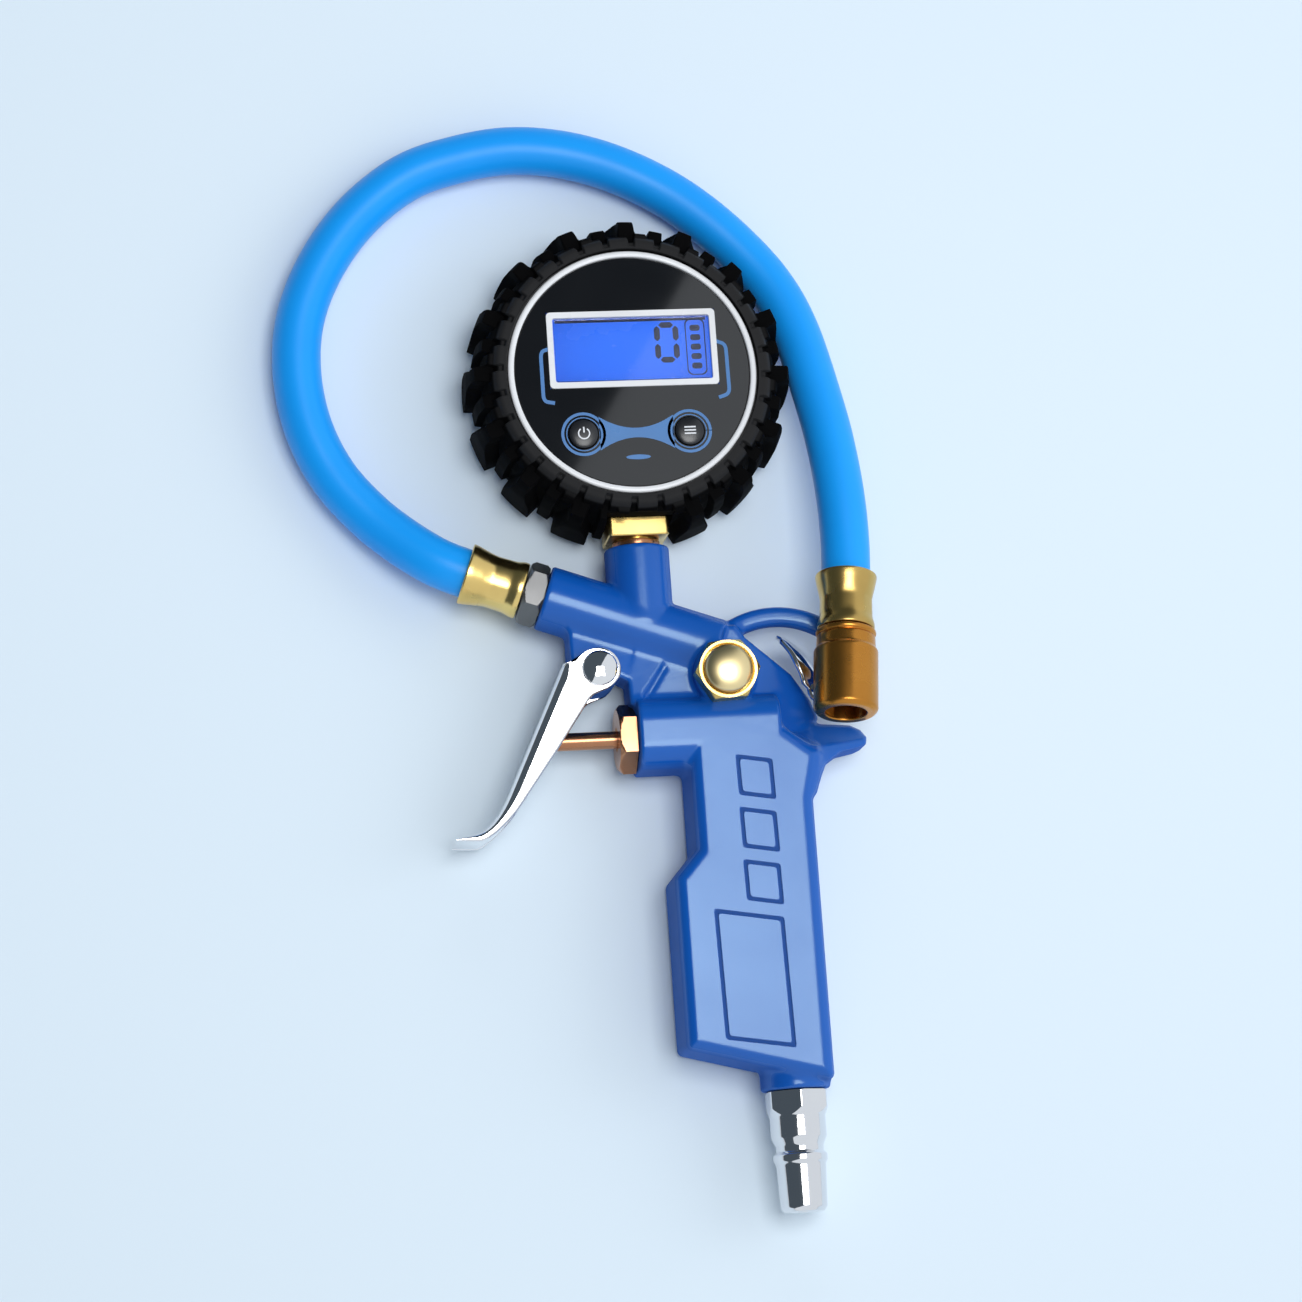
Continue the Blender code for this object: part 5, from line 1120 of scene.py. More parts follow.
    def build_pin(self) -> None:
        """The pin: a shank with a low domed head at each end."""
        reach = self.half_width + 0.0003
        head = soften(
            [(0.0025, reach), (self.pin_head, reach), (self.pin_head, reach + 0.0007),
             (0.0031, reach + 0.0015), (0.0012, reach + 0.0019), (0.0, reach + 0.0020)], 0.0006
        )
        profile = np.concatenate([(head * [1.0, -1.0])[::-1], head])
        mesh = turned_mesh("trigger_pin_piece", densify(profile, 0.0006), self.datums.at(*self.pivot),
                           (0, 0, 1), 56)
        place_piece("trigger_pin_piece", mesh, CHROME, Body.TOOL, "trigger_pin")


def read_line(line: Array, shares: Array) -> Array:
    """Points at given shares of a line's length."""
    lengths = np.concatenate([[0.0], np.cumsum(np.linalg.norm(np.diff(line, axis=0), axis=1))])
    lengths /= lengths[-1]
    return np.stack([np.interp(shares, lengths, line[:, i]) for i in range(line.shape[1])], axis=1)


# ---------------- valves
@dataclass
class Valves:
    """Gland nut, valve stem, bleed bush and its domed button."""

    datums: Datums
    chamber_y: float = -0.0882
    gland_face: float = -0.0038
    gland_length: float = 0.0042
    gland_half: float = 0.00738
    stem_radius: float = 0.00215
    bleed: Pair = (0.0184, -0.0744)
    bush_low: float = 0.0091
    bush_head: float = 0.0046
    bush_half: float = 0.00702
    button_radius: float = 0.0058

    def build(self) -> None:
        """Build the four pieces."""
        self.build_gland()
        self.build_stem()
        self.build_bush()
        self.build_button()

    def build_gland(self) -> None:
        """The copper gland nut: a hexagon with turned chamfers and a bored middle."""
        outer, bore, length = self.gland_half / cos(pi / 6.0), self.stem_radius + 0.0003, self.gland_length
        ring = np.array(
            [(bore, 0.0068), (bore, -length + 0.0006), (bore + 0.0007, -length), (outer * 0.86, -length),
             (outer, -length + 0.0011), (outer, -0.0001), (outer, 0.0), (0.0057, 0.0), (0.0057, 0.0068),
             (bore, 0.0068)]
        )
        flats = Hexagon(self.gland_half, -length - 0.001, 0.00001, phase=pi / 2.0)
        mesh = turned_mesh("gland_nut_piece", densify(ring, 0.00025),
                           self.datums.at(self.gland_face, self.chamber_y), (1, 0, 0), 144, flats, sharp=25.0)
        place_piece("gland_nut_piece", mesh, COPPER, Body.TOOL, "gland_nut")

    def build_stem(self) -> None:
        """The valve stem with its round tip and the poppet's disc."""
        low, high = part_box("valve_stem")
        tip = low.x - self.datums.gauge[0]
        end = high.x - self.datums.gauge[0]
        radius = self.stem_radius
        dome = [(radius * sin(a), tip + radius * (1.0 - cos(a))) for a in np.linspace(0.0, pi / 2.0, 10)]
        rest = soften(
            [(radius, tip + radius), (radius, end - 0.0058), (0.0046, end - 0.0058), (0.0046, end - 0.0030),
             (radius, end - 0.0030), (radius, end), (0.0, end)], 0.0002
        )
        profile = np.concatenate([np.array(dome), rest[1:]])
        mesh = turned_mesh("valve_stem_piece", densify(profile, 0.0010), self.datums.at(0.0, self.chamber_y),
                           (1, 0, 0), 40)
        place_piece("valve_stem_piece", mesh, COPPER, Body.VALVE, "valve_stem")

    def build_bush(self) -> None:
        """The hexagonal bleed bush with its cup for the button."""
        outer = self.bush_half / cos(pi / 6.0)
        cup = self.button_radius + 0.0003
        top, floor = self.bush_head, self.bush_head - 0.0033
        ring = np.array(
            [(0.0019, -0.0085), (0.0019, floor - 0.0040), (0.0032, floor - 0.0040), (0.0032, floor),
             (cup, floor), (cup, top - 0.0003), (cup + 0.0003, top), (outer * 0.87, top),
             (outer, top - 0.0012), (outer, 0.0001), (outer, 0.0), (0.0048, 0.0), (0.0048, -0.0085),
             (0.0019, -0.0085)]
        )
        flats = Hexagon(self.bush_half, -0.00001, top + 0.001, phase=radians(33.0) + pi / 2.0)
        place = self.datums.at(*self.bleed, self.datums.middle + self.bush_low)
        mesh = turned_mesh("bleed_bush_piece", densify(ring, 0.00025), place, (0, 0, 1), 144, flats,
                           sharp=25.0)
        place_piece("bleed_bush_piece", mesh, BRASS, Body.TOOL, "bleed_bush")

    def build_button(self) -> None:
        """The domed brass button with its stem down to the bleed seat."""
        low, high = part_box("bleed_button")
        middle = self.datums.middle
        top = high.z - middle
        foot = low.z - middle
        rim = top - 0.0022
        radius = self.button_radius
        dome = [(radius * cos(a) ** 0.9, rim + 0.0022 * sin(a)) for a in np.linspace(0.0, pi / 2.0, 14)[1:]]
        profile = np.concatenate([
            soften(
                [(0.0, foot), (0.0030, foot), (0.0030, foot + 0.0008), (0.0016, foot + 0.0008),
                 (0.0016, rim - 0.0016), (radius, rim - 0.0016), (radius, rim)], 0.0002
            ), np.array(dome), [(0.0, top)],
        ])
        profile = profile[np.concatenate([[True], np.linalg.norm(np.diff(profile, axis=0), axis=1) > 1e-6])]
        mesh = turned_mesh("bleed_button_piece", densify(profile, 0.0006), self.datums.at(*self.bleed),
                           (0, 0, 1), 72)
        place_piece("bleed_button_piece", mesh, PALE_BRASS, Body.BLEED, "bleed_button")


# ---------------- air plug
@dataclass
class AirPlug:
    """The chromed nipple at the grip's end, with its spanner flats, neck and flange."""

    datums: Datums
    x: float = 0.0293
    start: float = -0.1750
    hexagon_half: float = 0.0068
    bore: float = 0.0030

    def build(self) -> None:
        """Turn the nipple, hollow from end to end."""
        ring = soften([
            (self.bore, -0.0105), (0.0047, -0.0105), (0.0047, 0.0003), (0.00775, 0.0003), (0.00775, 0.0044),
            (0.0067, 0.0062), (0.0067, 0.0112), (0.00575, 0.0133), (0.0057, 0.0146), (0.0065, 0.0154),
            (0.0065, 0.0168), (0.0060, 0.0176), (0.0056, 0.0278), (0.0048, 0.0289), (0.0036, 0.0289),
            (self.bore, 0.0282), (self.bore, -0.0105),
        ], 0.0003)
        flats = Hexagon(self.hexagon_half, 0.0, 0.0058, phase=0.0)
        mesh = turned_mesh("air_plug", densify(ring, 0.0003), self.datums.at(self.x, self.start), (0, -1, 0),
                           144, flats, sharp=32.0)
        place_piece("air_plug", mesh, CHROME, Body.TOOL, "coupler_plug")


# ---------------- gauge
@dataclass
class Boot:
    """The rubber boot, shaped like a tyre: side lugs, bumps between them and shoulder blocks."""

    datums: Datums
    lug: float = 0.0036
    bump: float = 0.0019
    groove: float = 0.0011
    ledge: float = 0.0009
    lugs: int = 16
    phase: float = radians(20.5)
    groove_phase: float = radians(188.1)
    sides: int = 1024

    OUTSIDE = (
        (0.0250, 0.0), (0.0329, 0.0), (0.0354, 0.0016), (0.0364, 0.0038), (0.0364, 0.0158),
        (0.0358, 0.0205), (0.0346, 0.0242), (0.0332, 0.0263), (0.0310, 0.0263),
    )
    INSIDE = ((0.0310, 0.0243), (0.0328, 0.0243), (0.0328, 0.0020), (0.0250, 0.0020), (0.0250, 0.0))
    CUTS = (((-0.0082, -0.0494, 0.0020), (0.0082, -0.0296, 0.0187)),
            ((-0.00835, -0.0500, 0.0110), (0.00835, -0.0346, 0.0242)))

    def tread(self, angle: Array, height: Array) -> Array:
        """How far the rubber stands out along the profile's normal.

        A lug's half width falls from 7.6 degrees low on the tread to 3.8 near the front, and one of
        its flanks is steeper. A bump stands between two lugs. On the shoulder, grooves at half the
        lugs' pitch part the blocks, and every second block has a ledge over half its width.
        """
        pitch = 2.0 * pi / self.lugs
        around = angle - pi / 2.0 - self.phase
        off = (around + pitch / 2.0) % pitch - pitch / 2.0
        between = around % pitch - pitch / 2.0
        half = radians(7.6) - radians(3.8) * soft_step((height - 0.0080) / 0.0120)
        flank = np.where(off > 0.0, radians(0.7), radians(2.0))
        lug = self.lug * soft_step((half - np.abs(off)) / flank) * soft_band(height, 0.0036, 0.0234, 0.0009)
        bump = self.bump * soft_step(
            (radians(3.1) - np.abs(between)) / radians(0.7)
        ) * soft_band(height, 0.0060, 0.0230, 0.0008)
        past = angle - pi / 2.0 - self.groove_phase
        cut = np.abs((past + pitch / 4.0) % (pitch / 2.0) - pitch / 4.0)
        groove = self.groove * soft_step(
            (radians(1.6) - cut) / radians(0.6)
        ) * soft_step((height - 0.0228) / 0.0008)
        ledge_off = np.abs((past + pitch / 4.0) % pitch - pitch / 2.0 - radians(1.6))
        ledge = self.ledge * soft_step(
            (radians(2.6) - ledge_off) / radians(0.5)
        ) * soft_band(height, 0.0212, 0.0248, 0.0005)
        return np.maximum(np.maximum(lug, bump), ledge) - groove

    def build(self) -> None:
        """Turn the boot's section with its tread, and cut the room for the stem's block."""
        outside = densify(soften(self.OUTSIDE, 0.0008), 0.0005)
        profile = np.concatenate([outside, self.INSIDE])

        def relief(angle: Array, height: Array) -> Array:
            """The tread, only on the outside of the wall."""
            rows = (np.arange(len(profile)) < len(outside) - 2)[:, None]
            return self.tread(angle, height) * rows

        mesh = turned_mesh("boot", profile, self.datums.gauge, (0, 0, 1), self.sides, relief=relief,
                           sharp=50.0)
        rubber = BootRubber("tyre_rubber", (0.0012, 0.0012, 0.0014), (0.0024, 0.0024, 0.0027), 0.0,
                            (0.46, 0.60), 1500.0, 0.00003, specular=0.05)
        boot = place_piece("boot", mesh, rubber, Body.TOOL, "gauge_boot")
        for number, (low, high) in enumerate(self.CUTS):
            cut_out(boot, box_mesh("cut_%d" % number, self.datums.at(*low), self.datums.at(*high)))


def soft_step(value: Array) -> Array:
    """0 below 0, 1 above 1, and 3t^2 - 2t^3 between."""
    t = np.clip(value, 0.0, 1.0)
    return t * t * (3.0 - 2.0 * t)


def soft_band(value: Array, low: float, high: float, ramp: float) -> Array:
    """1 between two limits, falling to 0 over a ramp inside each."""
    return soft_step((value - low) / ramp) * soft_step((high - value) / ramp)


def box_mesh(name: str, low: Array, high: Array) -> Mesh:
    """A plain box between two corners, for cutting."""
    corners = np.array(
        [[x, y, z] for x in (low[0], high[0]) for y in (low[1], high[1]) for z in (low[2], high[2])]
    )
    return mesh_of(name, corners, BOX_FACES)


def cut_out(piece: Piece, tool_mesh: Mesh) -> None:
    """Cut a tool's mesh out of a piece and keep the result as its mesh."""
    tool = bpy.data.objects.new("tool", tool_mesh)
    bpy.context.scene.collection.objects.link(tool)
    change = piece.modifiers.new("cut", "BOOLEAN")
    change.operation = "DIFFERENCE"
    change.solver = "EXACT"
    change.object = tool
    bpy.context.view_layer.update()
    seen = piece.evaluated_get(bpy.context.evaluated_depsgraph_get())
    result = bpy.data.meshes.new_from_object(seen)
    piece.modifiers.clear()
    piece.data = result
    bpy.data.objects.remove(tool)
    result.shade_smooth()
    result.set_sharp_from_angle(angle=radians(45.0))


@dataclass
class Face:
    """What shows inside the boot: ring, black face, display, keys and the face's print."""

    datums: Datums
    nodes: dict[str, Piece]
    radius: float = 0.0290
    ring: float = 0.0015
    key_x: float = 0.0130
    key_y: float = -0.0154
    key_radius: float = 0.0035
    frame_line: float = 0.0012
    frame_lap: float = 0.0003
    print_lift: float = 0.00004
    print_height: float = 0.00005

    BRACKETS = (
        ((-20.0, 6.3), (-22.2, 5.6), (-22.2, -6.9), (-19.5, -7.4)),
        ((21.0, 7.1), (23.4, 6.2), (23.5, -6.3), (20.8, -7.2)),
    )

    def build(self) -> None:
        """Build every piece of the face."""
        self.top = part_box("face_plate")[1].z
        self.build_ring()
        self.build_display()
        self.build_keys()
        self.build_print()
        dress_node(self.nodes["face_plate"], FACE_GLOSS)

    def build_ring(self) -> None:
        """The white ring, with a rounded crown."""
        low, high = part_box("bezel_ring")
        inner, outer = self.radius, self.radius + self.ring
        ring = soften(
            [(inner, low.z), (inner, high.z - 0.0002), (inner + 0.0004, high.z), (outer - 0.0004, high.z),
             (outer, high.z - 0.0003), (outer, low.z), (inner, low.z)], 0.0003
        )
        mesh = turned_mesh("white_bezel", densify(ring, 0.0006), self.datums.gauge, (0, 0, 1), 180)
        place_piece("white_bezel", mesh, WHITE_RING, Body.TOOL, "bezel_ring")

    def build_display(self) -> None:
        """The display: lit panel, white frame with round corners, clear lens, segments."""
        low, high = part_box("lcd_frame")
        centre = (np.array(low) + np.array(high)) / 2.0
        half = (np.array(high) - np.array(low)) / 2.0
        outer = rounded_box_line(half[0] + self.frame_lap, half[1] + self.frame_lap, 0.0010)
        inner = rounded_box_line(half[0] - self.frame_line, half[1] - self.frame_line, 0.0006)
        levels = [(inner, low.z), (inner, high.z - 0.0001), (inner * 1.003, high.z), (outer * 0.997, high.z),
                  (outer, high.z - 0.0001), (outer, low.z), (inner, low.z)]
        points = np.concatenate(
            [np.column_stack([line_points, np.full(len(line_points), z)]) for line_points, z in levels]
        )
        points[:, :2] += centre[:2]
        mesh = mesh_of("display_frame", points, grid_faces(len(levels), len(outer), close_columns=True),
                       sharp=30.0)
        place_piece("display_frame", mesh, WHITE_RING, Body.TOOL, "lcd_frame")
        light = Backlight("display_backlight", (0.020, 0.070, 0.420), (0.018, 0.064, 0.400), 0.0, (0.25, 0.30),
                          900.0, 0.000001, centre=(float(centre[0]), float(centre[1]), 0.0),
                          half=(float(half[0]), float(half[1])))
        dress_node(self.nodes["lcd_panel"], light)
        lens_low, lens_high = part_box("lcd_lens")
        lens_half = (np.array(lens_high) - np.array(lens_low)) / 2.0
        edge = rounded_box_line(lens_half[0], lens_half[1], 0.0006)
        mesh = plate_mesh("display_lens", edge + centre[:2], lens_low.z, lens_high.z)
        place_piece("display_lens", mesh, clear_lens(), Body.TOOL, "lcd_lens")
        self.build_segments(centre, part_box("lcd_panel")[1].z)

    def build_segments(self, centre: Array, panel_top: float) -> None:
        """A zero of six bars and a framed column of charge bars as dark ink, and a painted shade strip along
        the panel's top edge.
        """
        low = panel_top + 0.00002
        digit = centre[:2] + np.array([0.0087, 0.0016])
        wide, tall, bar = 0.0023, 0.0042, 0.00072
        lines = []
        for side in (-1.0, 1.0):
            for end in (-1.0, 1.0):
                lines.append(
                    bar_line(digit + [side * wide, end * 0.0003], digit + [side * wide, end * tall], bar)
                )
            level = side * (tall + 0.0002)
            lines.append(bar_line(digit + [-wide * 0.80, level], digit + [wide * 0.80, level], bar))
        column = centre[:2] + np.array([0.0158, 0.0003])
        charge_bar = rounded_box_line(0.00125, 0.00075, 0.0006)
        lines += [charge_bar + column + [0.0, step * 0.0024] for step in (-2, -1, 0, 1, 2)]
        marks = join_plates("display_marks", [(line, low, low + 0.00005) for line in lines])
        place_piece("display_marks", marks, LCD_INK_AND_SHADE, Body.TOOL)
        outer, inner = (
            rounded_box_line(0.0022 + width, 0.0069 + width, 0.0014) + column for width in (0.00025, 0.0)
        )
        # painted shade: a dark strip along the top edge of the display panel
        top_edge = centre[:2] + np.column_stack([np.linspace(-0.0186, 0.0186, 9), np.full(9, 0.0078)])
        strips = [ring_plate(outer, inner), (top_edge, top_edge - [0.0, 0.0007])]
        place_piece("display_lines_and_shade", strip_plates("display_lines_and_shade", strips, low, low + 0.00004), LCD_INK_AND_SHADE,
                    Body.TOOL)

    def build_keys(self) -> None:
        """The two domed keys."""
        for node, side, body in (("power_button", -1.0, Body.POWER), ("mode_button", 1.0, Body.MODE)):
            low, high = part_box(node)
            shoulder = high.z - 0.0006
            flange = self.key_radius + 0.0011
            dome = [
                (self.key_radius * cos(a), shoulder + 0.0006 * sin(a)) for a in np.linspace(0.15, pi / 2.0, 9)
            ]
            profile = np.concatenate([
                soften(
                    [(0.0, low.z), (flange, low.z), (flange, low.z + 0.0009),
                     (self.key_radius, low.z + 0.0009), (self.key_radius, shoulder)], 0.0002
                ), np.array(dome)[:-1], [(0.0, high.z)]])
            mesh = turned_mesh(node + "_piece", densify(profile, 0.0008),
                               self.datums.at(side * self.key_x, self.key_y, 0.0), (0, 0, 1), 56)
            place_piece(node + "_piece", mesh, KEY_PLASTIC, body, node)

    def build_print(self) -> None:
        """Brackets beside the display, rings round the keys, the bridge and the small oval."""
        place = self.datums.gauge[:2]
        low, high = self.top + self.print_lift, self.top + self.print_lift + self.print_height
        plates = []
        for side in (-1.0, 1.0):
            key = place + np.array([side * self.key_x, self.key_y])
            angle = np.linspace(0.0, 2.0 * pi, 97)[:-1]
            circle = np.column_stack([np.cos(angle), np.sin(angle)])
            plates.append(ring_plate(key + circle * 0.00545, key + circle * 0.00475))
            plates.append(ring_plate(key + circle * 0.00425, key + circle * 0.00400))
        for bracket in self.BRACKETS:
            plates.append(stroke_plate(np.array(bracket) * MM + place, 0.0009))
        t = np.linspace(-1.0, 1.0, 41)
        waist = 0.0012 + 0.0030 * t ** 2
        top_edge = np.column_stack([t * 0.0091, self.key_y + waist])
        bottom_edge = np.column_stack([t * 0.0091, self.key_y - waist])
        plates.append((top_edge + place, bottom_edge + place))
        angle = np.linspace(0.0, pi, 25)
        edges = [
            place + np.column_stack(
                [-np.cos(angle) * 0.0030, half * np.sin(angle) - 0.0215]
            ) for half in (0.0006, -0.0006)
        ]
        plates.append((edges[0], edges[1]))
        mesh = strip_plates("face_print", plates, low, high)
        place_piece("face_print", mesh, PRINT_BLUE, Body.TOOL)
        self.build_icons(place)

    def build_icons(self, place: Array) -> None:
        """A plain power mark on one key and three bars on the other, printed on their crowns."""
        angle = np.linspace(radians(125.0), radians(415.0), 33)
        arc = np.column_stack([np.cos(angle), np.sin(angle)])
        bar = np.array([(0.0, 0.0002), (0.0, 0.0016)])
        power = [(arc * 0.00150, arc * 0.00118), (bar - [0.00018, 0.0], bar + [0.00018, 0.0])]
        line = np.array([(-0.0014, 0.0), (0.0014, 0.0)])
        bars = [(line + [0.0, y + 0.00018], line + [0.0, y - 0.00018]) for y in (-0.0008, 0.0, 0.0008)]
        for node, side, body, strips in (("power_button", -1.0, Body.POWER, power),
                                         ("mode_button", 1.0, Body.MODE, bars)):
            key = place + np.array([side * self.key_x, self.key_y])
            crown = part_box(node)[1].z
            placed = [(first + key, second + key) for first, second in strips]
            mesh = strip_plates(node + "_icon", placed, crown - 0.00030, crown + 0.00003)
            place_piece(node + "_icon", mesh, PRINT_WHITE, body)


def rounded_box_line(half_x: float, half_y: float, corner: float, steps: int = 6) -> Array:
    """The outline of a box with round corners, about the origin, anticlockwise."""
    angle = np.linspace(0.0, pi / 2.0, steps + 1)
    arc = np.column_stack([np.cos(angle), np.sin(angle)]) * corner
    pieces = []
    for quarter, (sx, sy) in enumerate(((1, 1), (-1, 1), (-1, -1), (1, -1))):
        turn = quarter * pi / 2.0
        spin = np.array([[cos(turn), sin(turn)], [-sin(turn), cos(turn)]])
        pieces.append(arc @ spin + [sx * (half_x - corner), sy * (half_y - corner)])
    return np.concatenate(pieces)


def plate_mesh(name: str, line: Array, low: float, high: float) -> Mesh:
    """A plate of a round-cornered outline, closed with a fan to its middle."""
    middle = line.mean(axis=0)
    levels = [(middle + (line - middle) * 1e-4, low), (line, low), (line, high),
              (middle + (line - middle) * 1e-4, high)]
    points = np.concatenate([np.column_stack([ring, np.full(len(ring), z)]) for ring, z in levels])
    return mesh_of(name, points, grid_faces(4, len(line), close_columns=True), sharp=30.0)


def bar_line(start: Array, stop: Array, half: float) -> Array:
    """The outline of a display segment: a bar with pointed ends."""
    along = unit(np.asarray(stop) - np.asarray(start))
    across = np.array([-along[1], along[0]]) * half
    cut = along * half
    return np.array(
        [start, start + cut - across, stop - cut - across, stop, stop - cut + across, start + cut + across]
    )


def join_plates(name: str, plates: Sequence[tuple[Array, float, float]]) -> Mesh:
    """Several small plates as one mesh."""
    whole = bmesh.new()
    for index, (line, low, high) in enumerate(plates):
        part = plate_mesh("%s_%d" % (name, index), line, low, high)
        whole.from_mesh(part)
        bpy.data.meshes.remove(part)
    mesh = bpy.data.meshes.new(name)
    whole.to_mesh(mesh)
    whole.free()
    return mesh


def ring_plate(outer: Array, inner: Array) -> tuple[Array, Array]:
    """Two closed lines that bound a printed ring."""
    return np.concatenate([outer, outer[:1]]), np.concatenate([inner, inner[:1]])


def stroke_plate(line: Array, width: float) -> tuple[Array, Array]:
    """The two edges of a printed stroke along a line with softened corners."""
    path = soften(line, 0.0016, 6)
    slope = np.gradient(path, axis=0)
    slope /= np.linalg.norm(slope, axis=1)[:, None]
    across = np.column_stack([-slope[:, 1], slope[:, 0]]) * width / 2.0
    return path + across, path - across


def strip_plates(name: str, strips: Sequence[tuple[Array, Array]], low: float, high: float) -> Mesh:
    """Thin printed strips, each spanned between two edges, as one mesh."""
    points, quads, count = [], [], 0
    for first, second in strips:
        rows = [np.column_stack([edge, np.full(len(edge), z)])
                for edge, z in ((first, low), (first, high), (second, high), (second, low))]
        points.append(np.concatenate(rows))
        quads.append(grid_faces(4, len(first), close_rows=True) + count)
        ends = np.array([[0, 1, 2, 3], [3, 2, 1, 0]]) * len(first) + np.array([[0], [len(first) - 1]])
        quads.append(ends + count)
        count += 4 * len(first)
    return mesh_of(name, np.concatenate(points), np.concatenate(quads), sharp=30.0)


@dataclass
class GaugeStem:
    """The brass stem block between boot and body, and its copper washer."""

    datums: Datums
    width: float = 0.0148
    low: float = -0.0391
    high: float = -0.0344

    def build(self) -> None:
        """A block with round corners along Y, with a turned shank, and the washer."""
        half = self.width / 2.0
        levels = [(0.4, self.low), (0.97, self.low), (1.0, self.low + 0.0003), (1.0, self.high - 0.0003),
                  (0.97, self.high), (0.4, self.high)]
        line = rounded_box_line(half, half, 0.0009)
        rows = []
        for share, y in levels:
            ring = line * share
            rows.append(np.column_stack([ring[:, 0], np.full(len(ring), y), ring[:, 1]]))
        points = np.concatenate(rows) + self.datums.at(0.0, 0.0)
        block = mesh_of("stem_block", points,
                        grid_faces(len(levels), len(line), close_columns=True, close_rows=True), sharp=30.0)
        shank_line = soften([(0.0, -0.0512), (0.0047, -0.0512), (0.0047, -0.0275), (0.0, -0.0275)], 0.0004)
        shank = turned_mesh("stem_shank", densify(shank_line, 0.0010), self.datums.at(0.0, 0.0), (0, 1, 0), 48)
        whole = bmesh.new()
        whole.from_mesh(block)
        whole.from_mesh(shank)
        whole.to_mesh(block)
        whole.free()
        place_piece("gauge_stem_piece", block, BRASS, Body.TOOL, "gauge_stem")
        ring = soften(
            [(0.0051, -0.0409), (0.00585, -0.0409), (0.00585, -0.0394), (0.0051, -0.0394), (0.0051, -0.0409)],
            0.0004
        )
        washer = turned_mesh("stem_washer_piece", densify(ring, 0.0005), self.datums.at(0.0, 0.0), (0, 1, 0),
                             64)
        place_piece("stem_washer_piece", washer, COPPER, Body.TOOL, "stem_washer")


